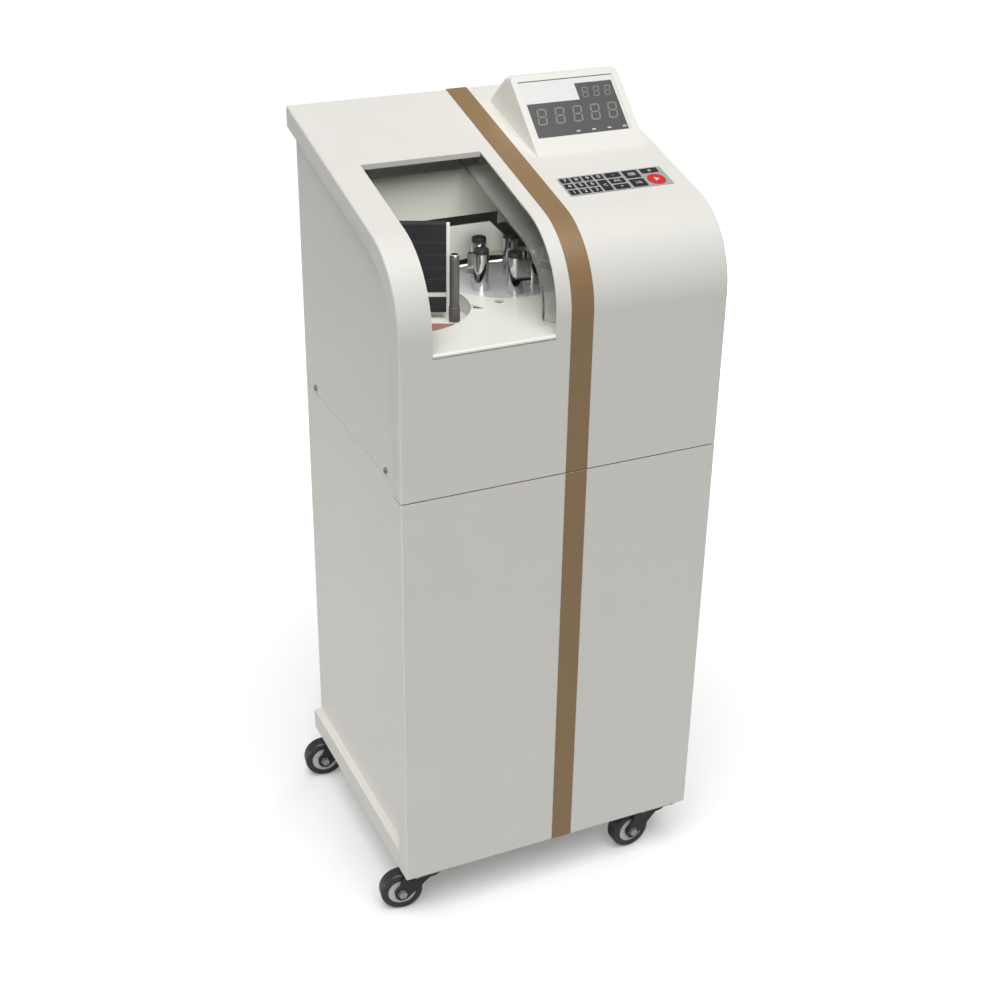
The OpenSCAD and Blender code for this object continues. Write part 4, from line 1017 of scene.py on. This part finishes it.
@dataclass
class CountingHead:
    """Turned head, chromed suction spindles and their caps. Sizes in millimetres."""

    spindles: int = 5
    cap_r: float = 8.75
    cap_h: float = 5.0
    cap_edge: float = 0.7
    cap_seat: float = 0.05
    cap_crown: float = 0.2
    dimple_r: float = 5.2
    dimple_slope: float = 0.4
    dimple_floor: float = 0.06

    def build(self) -> None:
        """Make the head and its spindles."""
        at = joint("head_spin")["pos_m"]
        turned = TurnedMetal("turned_steel_disc", "head_steel", "#E4E6E6", "#D7D9D9", 0.34, metallic=0.4,
                             mottle_mm=20.0, relief_mm=0.02, relief_share=0.4, centre=tuple(at))
        dressed_copy("head", "head_disc", turned, Edge.MACHINED, Body.HEAD)
        dress("sun_gear", turned)
        for i in range(1, self.spindles + 1):
            node = f"spindle_{i}"
            dressed_copy(node, f"{node}_post", CHROME, Edge.MACHINED, node)
            self.build_cap(node)

    def build_cap(self, node: str) -> None:
        """Fit a black cap with a shallow dimple on a spindle.

        Args:
            node: The spindle's node, which names its body too.
        """
        x, y, _ = joint(f"{node}_spin")["pos_m"]
        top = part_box(node)[1].z
        r, e, low, crown = self.cap_r, self.cap_edge, self.cap_seat - self.cap_h, self.cap_crown
        dimple, floor = self.dimple_r, self.dimple_floor
        bm = bmesh.new()
        spun(bm, [(0.0, low), (r, low), *arc((r - e, crown - e), e, 0, 90), (dimple, crown),
                  (dimple - self.dimple_slope, floor), (0.0, floor)], upright(x, y, top), 48)
        add_piece(f"{node}_cap", bm, CAP, node)


@dataclass
class NoteClamp:
    """Swinging sector with its sleeved finger. Sizes in millimetres, angles in degrees."""

    reach: float = 60.9
    angle: float = -30.2
    finger_r: float = 5.0
    plate_t: float = 3.0
    sleeve_t: float = 0.6
    sleeve_edge: float = 0.5
    tip_h: float = 3.5
    tip_t: float = 0.15
    tip_edge: float = 1.2
    tip_crown: float = 0.2
    tip_skirt: float = 0.4
    seat: float = 1.5
    collar_h: float = 18.0
    collar_t: float = 0.8
    collar_edge: float = 0.4
    board_r: Point2 = (22.9, 76.8)
    board_start: float = -87.0
    board_end: Point2 = (-64.0, -35.3)
    board_t: float = 0.7
    well_r: Point2 = (12.0, 81.5)
    well_turn: float = 118.0
    well_deep: float = 20.0
    well_t: float = 1.5
    deck_t: float = 2.0

    def build(self) -> None:
        """Make the sector, its sleeve, its tip, the board on it and the well that it swings in."""
        dressed_copy("clamp_finger", "clamp_sector", SECTOR, Edge.MACHINED, Body.CLAMP)
        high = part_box("clamp_finger")[1]
        pivot = Vector(joint("clamp_swing")["pos_m"])
        turn = math.radians(self.angle)
        x = pivot.x + self.reach * MM * math.cos(turn)
        y = pivot.y + self.reach * MM * math.sin(turn)
        plate_top = pivot.z + self.plate_t * MM
        end = (high.z - plate_top) / MM - self.tip_h
        edge, chamfer = self.sleeve_edge, self.collar_edge
        inner, outer = self.finger_r - edge, self.finger_r + self.sleeve_t
        wide, collar = outer + self.collar_t, self.collar_h
        bm = bmesh.new()
        spun(bm, [(inner, self.seat), (wide, self.seat), (wide, collar - chamfer), (wide - chamfer, collar),
                  (outer, collar), *arc((outer - edge, end - edge), edge, 0, 90, 3), (inner, end)],
             upright(x, y, plate_top), 40)
        add_piece("clamp_sleeve", bm, SLEEVE, Body.CLAMP)
        self.build_tip(upright(x, y, high.z))
        self.build_board(pivot, plate_top)
        self.build_well(pivot)

    def build_tip(self, place: Matrix) -> None:
        """Fit a bright rounded tip over the finger's end.

        Args:
            place: Frame at the middle of the finger's top.
        """
        r, e, crown = self.finger_r + self.tip_t, self.tip_edge, self.tip_crown
        low = -self.tip_h - self.tip_skirt
        bm = bmesh.new()
        spun(bm, [(0.0, low), (r, low), *arc((r - e, crown - e), e, 0, 90), (0.0, crown)], place, 40)
        add_piece("clamp_tip", bm, CHROME, Body.CLAMP)

    def build_board(self, pivot: Vector, plate_top: float) -> None:
        """Lay the pressed board on the sector's front, cut straight in front of the finger.

        Args:
            pivot: The clamp's pivot.
            plate_top: Height of the sector's upper face.
        """
        (r0, r1), (end0, end1) = self.board_r, self.board_end
        start, middle = self.board_start, (0.0, 0.0)
        outline = [*arc(middle, r1, start, end1, 12), *arc(middle, r0, end0, start)]
        bm = bmesh.new()
        prism(bm, outline, upright(pivot.x, pivot.y, plate_top), self.board_t)
        add_piece("clamp_board", bm, PRESSED_BOARD, Body.CLAMP)

    def build_well(self, pivot: Vector) -> None:
        """Hang a white dish under the deck, open at the side wall, which closes the sector's hole.

        Args:
            pivot: The clamp's pivot.
        """
        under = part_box("bay_liner")[0].z - self.deck_t * MM
        (r0, r1), depth, wall = self.well_r, self.well_deep, self.well_t
        bm = bmesh.new()
        start = Matrix.Rotation(math.radians(-self.well_turn), 4, "Z")
        spun(bm, [(r0, -depth), (r1, -depth), (r1, 0.0), (r1 - wall, 0.0), (r1 - wall, wall - depth),
                  (r0, wall - depth)], upright(pivot.x, pivot.y, under) @ start, 64, 2 * self.well_turn)
        add_piece("clamp_well", bm, BAY_PAINT)


@dataclass
class SafetyDoor:
    """Clear sliding door and the rod that it hangs on. Sizes in millimetres."""

    edge_band: float = 1.0
    edge_shift: Point2 = (6.0, 14.0)
    bead: float = 1.8

    def build(self) -> None:
        """Make the pane, with its free edge leaning as in the photograph and beaded with a grey strip of
        painted shade, and its rod.
        """
        low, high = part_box("safety_door")
        near, far = self.edge_shift
        pane = cad_copy("safety_door")
        bead = pane.copy()
        keep_side(bead, low + Vector((self.bead * MM, 0.0, 0.0)), Vector((1.0, 0.0, 0.0)), False)
        for bm, band in ((pane, self.edge_band), (bead, self.bead + self.edge_band)):
            for vert in bm.verts:
                if vert.co.x < low.x + band * MM:
                    rise = (vert.co.z - low.z) / (high.z - low.z)
                    vert.co.x -= (near + (far - near) * rise ** 2) * MM
        soften(pane, Edge.MOULDED, segments=2)
        sheet = add_piece("door_pane", pane, ACRYLIC, Body.DOOR, ["safety_door"])
        # The clear sheet lets the studio's light into the bay
        sheet.visible_shadow = False
        sheet.visible_diffuse = False
        # Painted shade: the opaque grey bead draws the dark line that a clear sheet's edge shows
        add_piece("door_edge_bead", bead, EDGE_LINE_PAINT, Body.DOOR)
        dressed_copy("door_rod", "door_guide_rod", ROD)


@dataclass
class DriveAndVacuum:
    """Inner frame, motor, pump and hose, seen only through the vents."""

    def dress(self) -> None:
        """Finish the pieces of the frame that stay as they are."""
        for node, finish in (("chassis", FRAME_PAINT), ("drive_motor", MOTOR_CAST),
                             ("vacuum_pump", PUMP_CAST), ("vacuum_hose", HOSE)):
            dress(node, finish)


@dataclass
class PowerInlet:
    """Inlet module with its pins and rocker. Sizes in millimetres, angles in degrees."""

    pins: tuple[Point2, ...] = ((-7.0, -2.0), (0.0, 2.0), (7.0, -2.0))
    plug_drop: float = -18.5
    pin_tip: float = 3.4
    pin_len: float = 13.6
    pin_sides: Point2 = (2.3, 4.3)
    pin_edge: float = 0.4
    face_rise: float = 4.4
    face_half: float = 5.775
    face_lean: float = 7.9
    rest_tilt: float = 8.0
    mark_t: float = 0.05
    bar_mark: Point2 = (0.9, 4.6)
    ring_mark: Point2 = (1.6, 2.4)

    def build(self) -> None:
        """Make the module, the pins and the rocker."""
        dressed_copy("power_inlet", "inlet_module", INLET, Edge.PRESSED)
        dressed_copy("power_switch", "rocker", INLET, Edge.PRESSED, Body.ROCKER)
        self.build_pins()
        self.build_marks()

    def build_pins(self) -> None:
        """Plate the three contact pins in the plug recess."""
        low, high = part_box("power_inlet")
        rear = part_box("rear_panel")[1].y
        middle = upright((low.x + high.x) / 2, rear, (low.z + high.z) / 2)
        wide, tall = self.pin_sides
        bm = bmesh.new()
        for x, z in self.pins:
            offset = Vector((x, -self.pin_tip - self.pin_len / 2, self.plug_drop + z)) * MM
            slab(bm, middle @ Matrix.Translation(offset), (wide, self.pin_len, tall), self.pin_edge)
        add_piece("inlet_pins", bm, PIN)

    def build_marks(self) -> None:
        """Print the bar and the ring on the rocker's two halves."""
        pivot = Matrix.Translation(joint("switch_rock")["pos_m"]) @ Matrix.Rotation(
            math.radians(self.rest_tilt), 4, "X")
        bm = bmesh.new()
        for half in (-1, 1):
            lean = math.radians(self.face_lean) * half
            out = Vector((0.0, math.cos(lean), -math.sin(lean)))
            at = Vector((0.0, self.face_rise, half * self.face_half)) * MM
            place = pivot @ axis_frame(at, out, (-1.0, 0.0, 0.0))
            if half > 0:
                middle = Matrix.Translation((0, 0, self.mark_t / 2 * MM))
                slab(bm, place @ middle, (*self.bar_mark, self.mark_t))
            else:
                r0, r1 = self.ring_mark
                spun(bm, [(r0, 0.0), (r1, 0.0), (r1, self.mark_t), (r0, self.mark_t)], place, 32)
        add_piece("rocker_marks", bm, PRINT, Body.ROCKER)


@dataclass
class Casters:
    """Swivel casters: top plates, forks, wheels and their fasteners. Sizes in millimetres."""

    wheel_r: float = 27.0
    half_w: float = 10.0
    shoulder: float = 4.32
    bore_r: float = 4.05
    hub_r: float = 9.0
    rim_r: float = 18.36
    recess: float = 2.0
    ring_t: float = 0.9
    ring_gaps: Point2 = (0.6, 0.2)
    ring_edge: float = 0.9
    ring_shares: Point2 = (0.5, 0.6)
    cheek: tuple[Point2, ...] = ((-44.0, -29.0), (-2.0, -27.5), (7.5, -4.0))
    cheek_r: float = 9.0
    cheek_arc: Point2 = (-25.0, 130.0)
    cheek_at: Point2 = (11.4, 14.2)
    bolt_r: float = 6.6
    bolt_chamfer: Point2 = (1.2, 0.7)
    bolt_at: Point2 = (13.9, 17.1)
    plate_bolt_x: float = 21.0
    plate_bolt_y: float = 19.0
    plate_bolt_r: float = 4.2
    plate_bolt_h: float = 3.2
    plate_bolt_chamfer: Point2 = (0.5, 0.4)
    plate_bolt_sink: float = 0.05
    plate_t: float = 3.0

    def build(self) -> None:
        """Make all four casters."""
        dressed_copy("caster_plates", "caster_top_plates", CASTER_ZINC, Edge.PRESSED)
        bolts = bmesh.new()
        for corner in Corner:
            fork, wheel = f"caster_fork_{corner}", f"caster_wheel_{corner}"
            dressed_copy(fork, f"{fork}_legs", FORK, Edge.FORK, fork)
            place = self.axle(corner)
            self.build_wheel(wheel, place)
            self.build_cheeks(fork, place)
            self.build_axle_bolts(fork, place)
            self.add_plate_bolts(bolts, corner)
        add_piece("caster_plate_bolts", bolts, CASTER_ZINC)

    def axle(self, corner: Corner) -> Matrix:
        """Give the frame on a wheel's axle, with X along the caster's trail.

        Args:
            corner: The caster's corner.

        Returns:
            The frame, with Z along the axle.
        """
        roll = joint(f"caster_{corner}_roll")
        swivel = joint(f"caster_{corner}_swivel")
        trail = Vector(roll["pos_m"]) - Vector(swivel["pos_m"])
        trail.z = 0.0
        return axis_frame(roll["pos_m"], roll["axis"], trail)

    def build_wheel(self, node: str, place: Matrix) -> None:
        """Make a tyre with its hub, and the grey rings in its two faces.

        Args:
            node: The wheel's node, which names its body too.
            place: Frame on the axle.
        """
        w, s, r = self.half_w, self.shoulder, self.wheel_r
        floor = w - self.recess
        half = [*arc((r - s, w - s), s, 0, 90, 8), (self.rim_r, w), (self.rim_r, floor),
                (self.hub_r, floor), (self.hub_r, w), (self.bore_r, w)]
        tyre = bmesh.new()
        spun(tyre, half + [(a, -b) for a, b in reversed(half)], place, 96)
        add_piece(f"{node}_tyre", tyre, TYRE, node, [node])
        rings = bmesh.new()
        inner, outer = self.hub_r + self.ring_gaps[0], self.rim_r - self.ring_gaps[1]
        low, high = (self.ring_t * share for share in self.ring_shares)
        outline = [(inner, 0.0), (outer, 0.0), (outer, high), (self.rim_r - self.ring_edge, self.ring_t),
                   (inner, low)]
        for side in (-1, 1):
            spun(rings, [(a, side * (floor + b)) for a, b in outline], place, 96)
        add_piece(f"{node}_rings", rings, WHEEL_RING, node)

    def build_cheeks(self, node: str, place: Matrix) -> None:
        """Broaden the fork's two legs with pressed cheeks that run from its crown round the axle.

        Args:
            node: The fork's node, which names its body too.
            place: Frame on the axle, with Y downwards.
        """
        inner, outer = self.cheek_at
        outline = [*self.cheek, *arc((0.0, 0.0), self.cheek_r, *self.cheek_arc, 10)]
        bm = bmesh.new()
        for low in (inner, -outer):
            prism(bm, outline, place @ Matrix.Translation((0.0, 0.0, low * MM)), outer - inner)
        soften(bm, Edge.MOULDED, segments=2)
        add_piece(f"{node}_cheeks", bm, FORK, node)

    def build_axle_bolts(self, node: str, place: Matrix) -> None:
        """Fit a chamfered hexagon over either end of the axle.

        Args:
            node: The fork's node, which names its body too.
            place: Frame on the axle.
        """
        inner, outer = self.bolt_at
        slope, chamfer = self.bolt_chamfer
        r = self.bolt_r
        bm = bmesh.new()
        for side in (-1, 1):
            spun(bm, [(0.0, side * inner), (r, side * inner), (r, side * (outer - chamfer)),
                      (r - slope, side * outer), (0.0, side * outer)], place, 6)
        add_piece(f"{node}_axle_bolts", bm, CASTER_ZINC, node)

    def add_plate_bolts(self, bm: Mesh, corner: Corner) -> None:
        """Add the four hexagon heads under a caster's top plate.

        Args:
            bm: The mesh that takes the heads.
            corner: The caster's corner.
        """
        x, y, _ = joint(f"caster_{corner}_swivel")["pos_m"]
        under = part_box("caster_plates")[1].z - self.plate_t * MM
        r, h, sink = self.plate_bolt_r, self.plate_bolt_h, self.plate_bolt_sink
        slope, chamfer = self.plate_bolt_chamfer
        outline = [(0.0, sink), (r, sink), (r, chamfer - h), (r - slope, -h), (0.0, -h)]
        for side in (-1, 1):
            for end in (-1, 1):
                at = upright(x + side * self.plate_bolt_x * MM, y + end * self.plate_bolt_y * MM, under)
                spun(bm, outline, at, 6)


@dataclass(frozen=True)
class Panel:
    """A flat studio light: its place, the point it faces and its sides in metres, and its power in watts.

    It falls on all that it reaches, or only on the pieces whose names start as given.
    """

    name: str
    at: Point3
    to: Point3
    sides: Point2
    power: float
    pieces: tuple[str, ...] = ()

    def hang(self) -> None:
        """Hang the light, and pick the pieces that it falls on."""
        lamp = bpy.data.lights.new(self.name, "AREA")
        lamp.shape = "RECTANGLE"
        lamp.size, lamp.size_y = self.sides
        lamp.energy = self.power
        light = bpy.data.objects.new(self.name, lamp)
        light.location = self.at
        light.rotation_euler = (Vector(self.to) - Vector(self.at)).to_track_quat("-Z", "Y").to_euler()
        bpy.context.scene.collection.objects.link(light)
        if self.pieces:
            lit = bpy.data.collections.new(f"{self.name}_pieces")
            for piece in bpy.context.scene.collection.objects:
                if piece.name.startswith(self.pieces):
                    lit.objects.link(piece)
            light.light_linking.receiver_collection = lit


PANELS = (
    Panel("low_reflector", (-1.1, 0.05, 0.12), (-0.2, 0.05, 0.17), (1.2, 0.25), 2.0),
    Panel("back_fill", (1.7, 1.5, 0.8), (0.1, 0.1, 0.5), (1.4, 1.4), 14.0),
    Panel("console_light", (-1.1, -0.3, 1.25), (0.05, 0.08, 0.97), (0.5, 0.5), 3.2, ("console_",)),
    Panel("bay_light", (-0.12, -1.2, 1.24), (-0.03, 0.06, 0.79), (1.3, 0.6), 15.0,
          ("head_disc", "note_pad_back", "clamp_", "pad_slot", "spindle_")),
    Panel("wall_light", (-0.09, -0.6, 1.78), (-0.09, 0.063, 0.85), (0.8, 0.6), 18.0, ("bay_back_wall",)),
    Panel("screen_light", (-0.22, -1.2, 1.2), (-0.02, 0.095, 0.795), (1.0, 0.5), 22.0, ("bay_screen",)),
    Panel("deck_light", (-0.45, -1.0, 1.45), (-0.03, -0.08, 0.77), (0.7, 0.5), 5.0, ("bay_deck",)),
)


@dataclass
class Studio:
    """Pale floor, broad light from above, a low reflector, and the camera at the photograph's place."""

    floor_m: float = 30.0
    floor_drop_mm: float = 0.4
    sun_from: Point3 = (-0.12, -0.3, 0.946)
    sun_power: float = 3.05
    sun_spread: float = 60.0
    sky_power: float = 0.12
    eye: Point3 = (-0.76627, -1.65179, 1.45996)
    aim: Point3 = (61.63568, -0.87676, -24.46882)
    lens_mm: float = 58.893
    sensor_mm: float = 36.0

    def build(self) -> None:
        """Set up the floor, the light and the camera."""
        scene = bpy.context.scene
        scene.view_settings.view_transform = "Standard"
        self.build_floor()
        self.build_light()
        lens = bpy.data.cameras.new("photo_camera")
        lens.lens = self.lens_mm
        lens.sensor_width = self.sensor_mm
        camera = bpy.data.objects.new("photo_camera", lens)
        camera.location = self.eye
        camera.rotation_euler = [math.radians(a) for a in self.aim]
        scene.collection.objects.link(camera)
        scene.camera = camera

    def build_floor(self) -> None:
        """Roll out the paper floor just under the wheels."""
        bm = bmesh.new()
        bmesh.ops.create_grid(bm, x_segments=4, y_segments=4, size=self.floor_m / 2,
                              matrix=upright(0.0, 0.0, -self.floor_drop_mm * MM))
        mesh = bpy.data.meshes.new("paper_floor")
        bm.to_mesh(mesh)
        bm.free()
        mesh.materials.append(PAPER.material())
        floor = bpy.data.objects.new("paper_floor", mesh)
        bpy.context.scene.collection.objects.link(floor)

    def build_light(self) -> None:
        """Hang one broad light, and make the room a faint light that the camera sees white."""
        lamp = bpy.data.lights.new("key_light", "SUN")
        lamp.energy = self.sun_power
        lamp.angle = math.radians(self.sun_spread)
        key = bpy.data.objects.new("key_light", lamp)
        key.rotation_euler = Vector(self.sun_from).to_track_quat("Z", "Y").to_euler()
        bpy.context.scene.collection.objects.link(key)
        room = bpy.data.worlds.new("bright_room")
        room.use_nodes = True
        tree = room.node_tree
        camera_ray = add_node(tree, "ShaderNodeLightPath").outputs["Is Camera Ray"]
        power = add_node(tree, "ShaderNodeMapRange", {"To Min": self.sky_power, "To Max": 1.0},
                         {"Value": camera_ray})
        tree.nodes["Background"].inputs["Color"].default_value = linear("#FFFFFF")
        tree.links.new(power.outputs["Result"], tree.nodes["Background"].inputs["Strength"])
        bpy.context.scene.world = room

    def hang_panels(self) -> None:
        """Hang the flat lights, once the pieces that they fall on are there."""
        for panel in PANELS:
            panel.hang()


def main() -> None:
    """Build every sub-assembly in order."""
    logging.basicConfig(level=logging.INFO, format="%(name)s: %(message)s")
    studio = Studio()
    studio.build()
    for part in (Cabinet(), DisplayConsole(), Keypad(), CountingBay(), CountingHead(), NoteClamp(),
                 SafetyDoor(), PowerInlet(), Casters()):
        part.build()
    DriveAndVacuum().dress()
    studio.hang_panels()


if __name__ == "__main__":
    main()
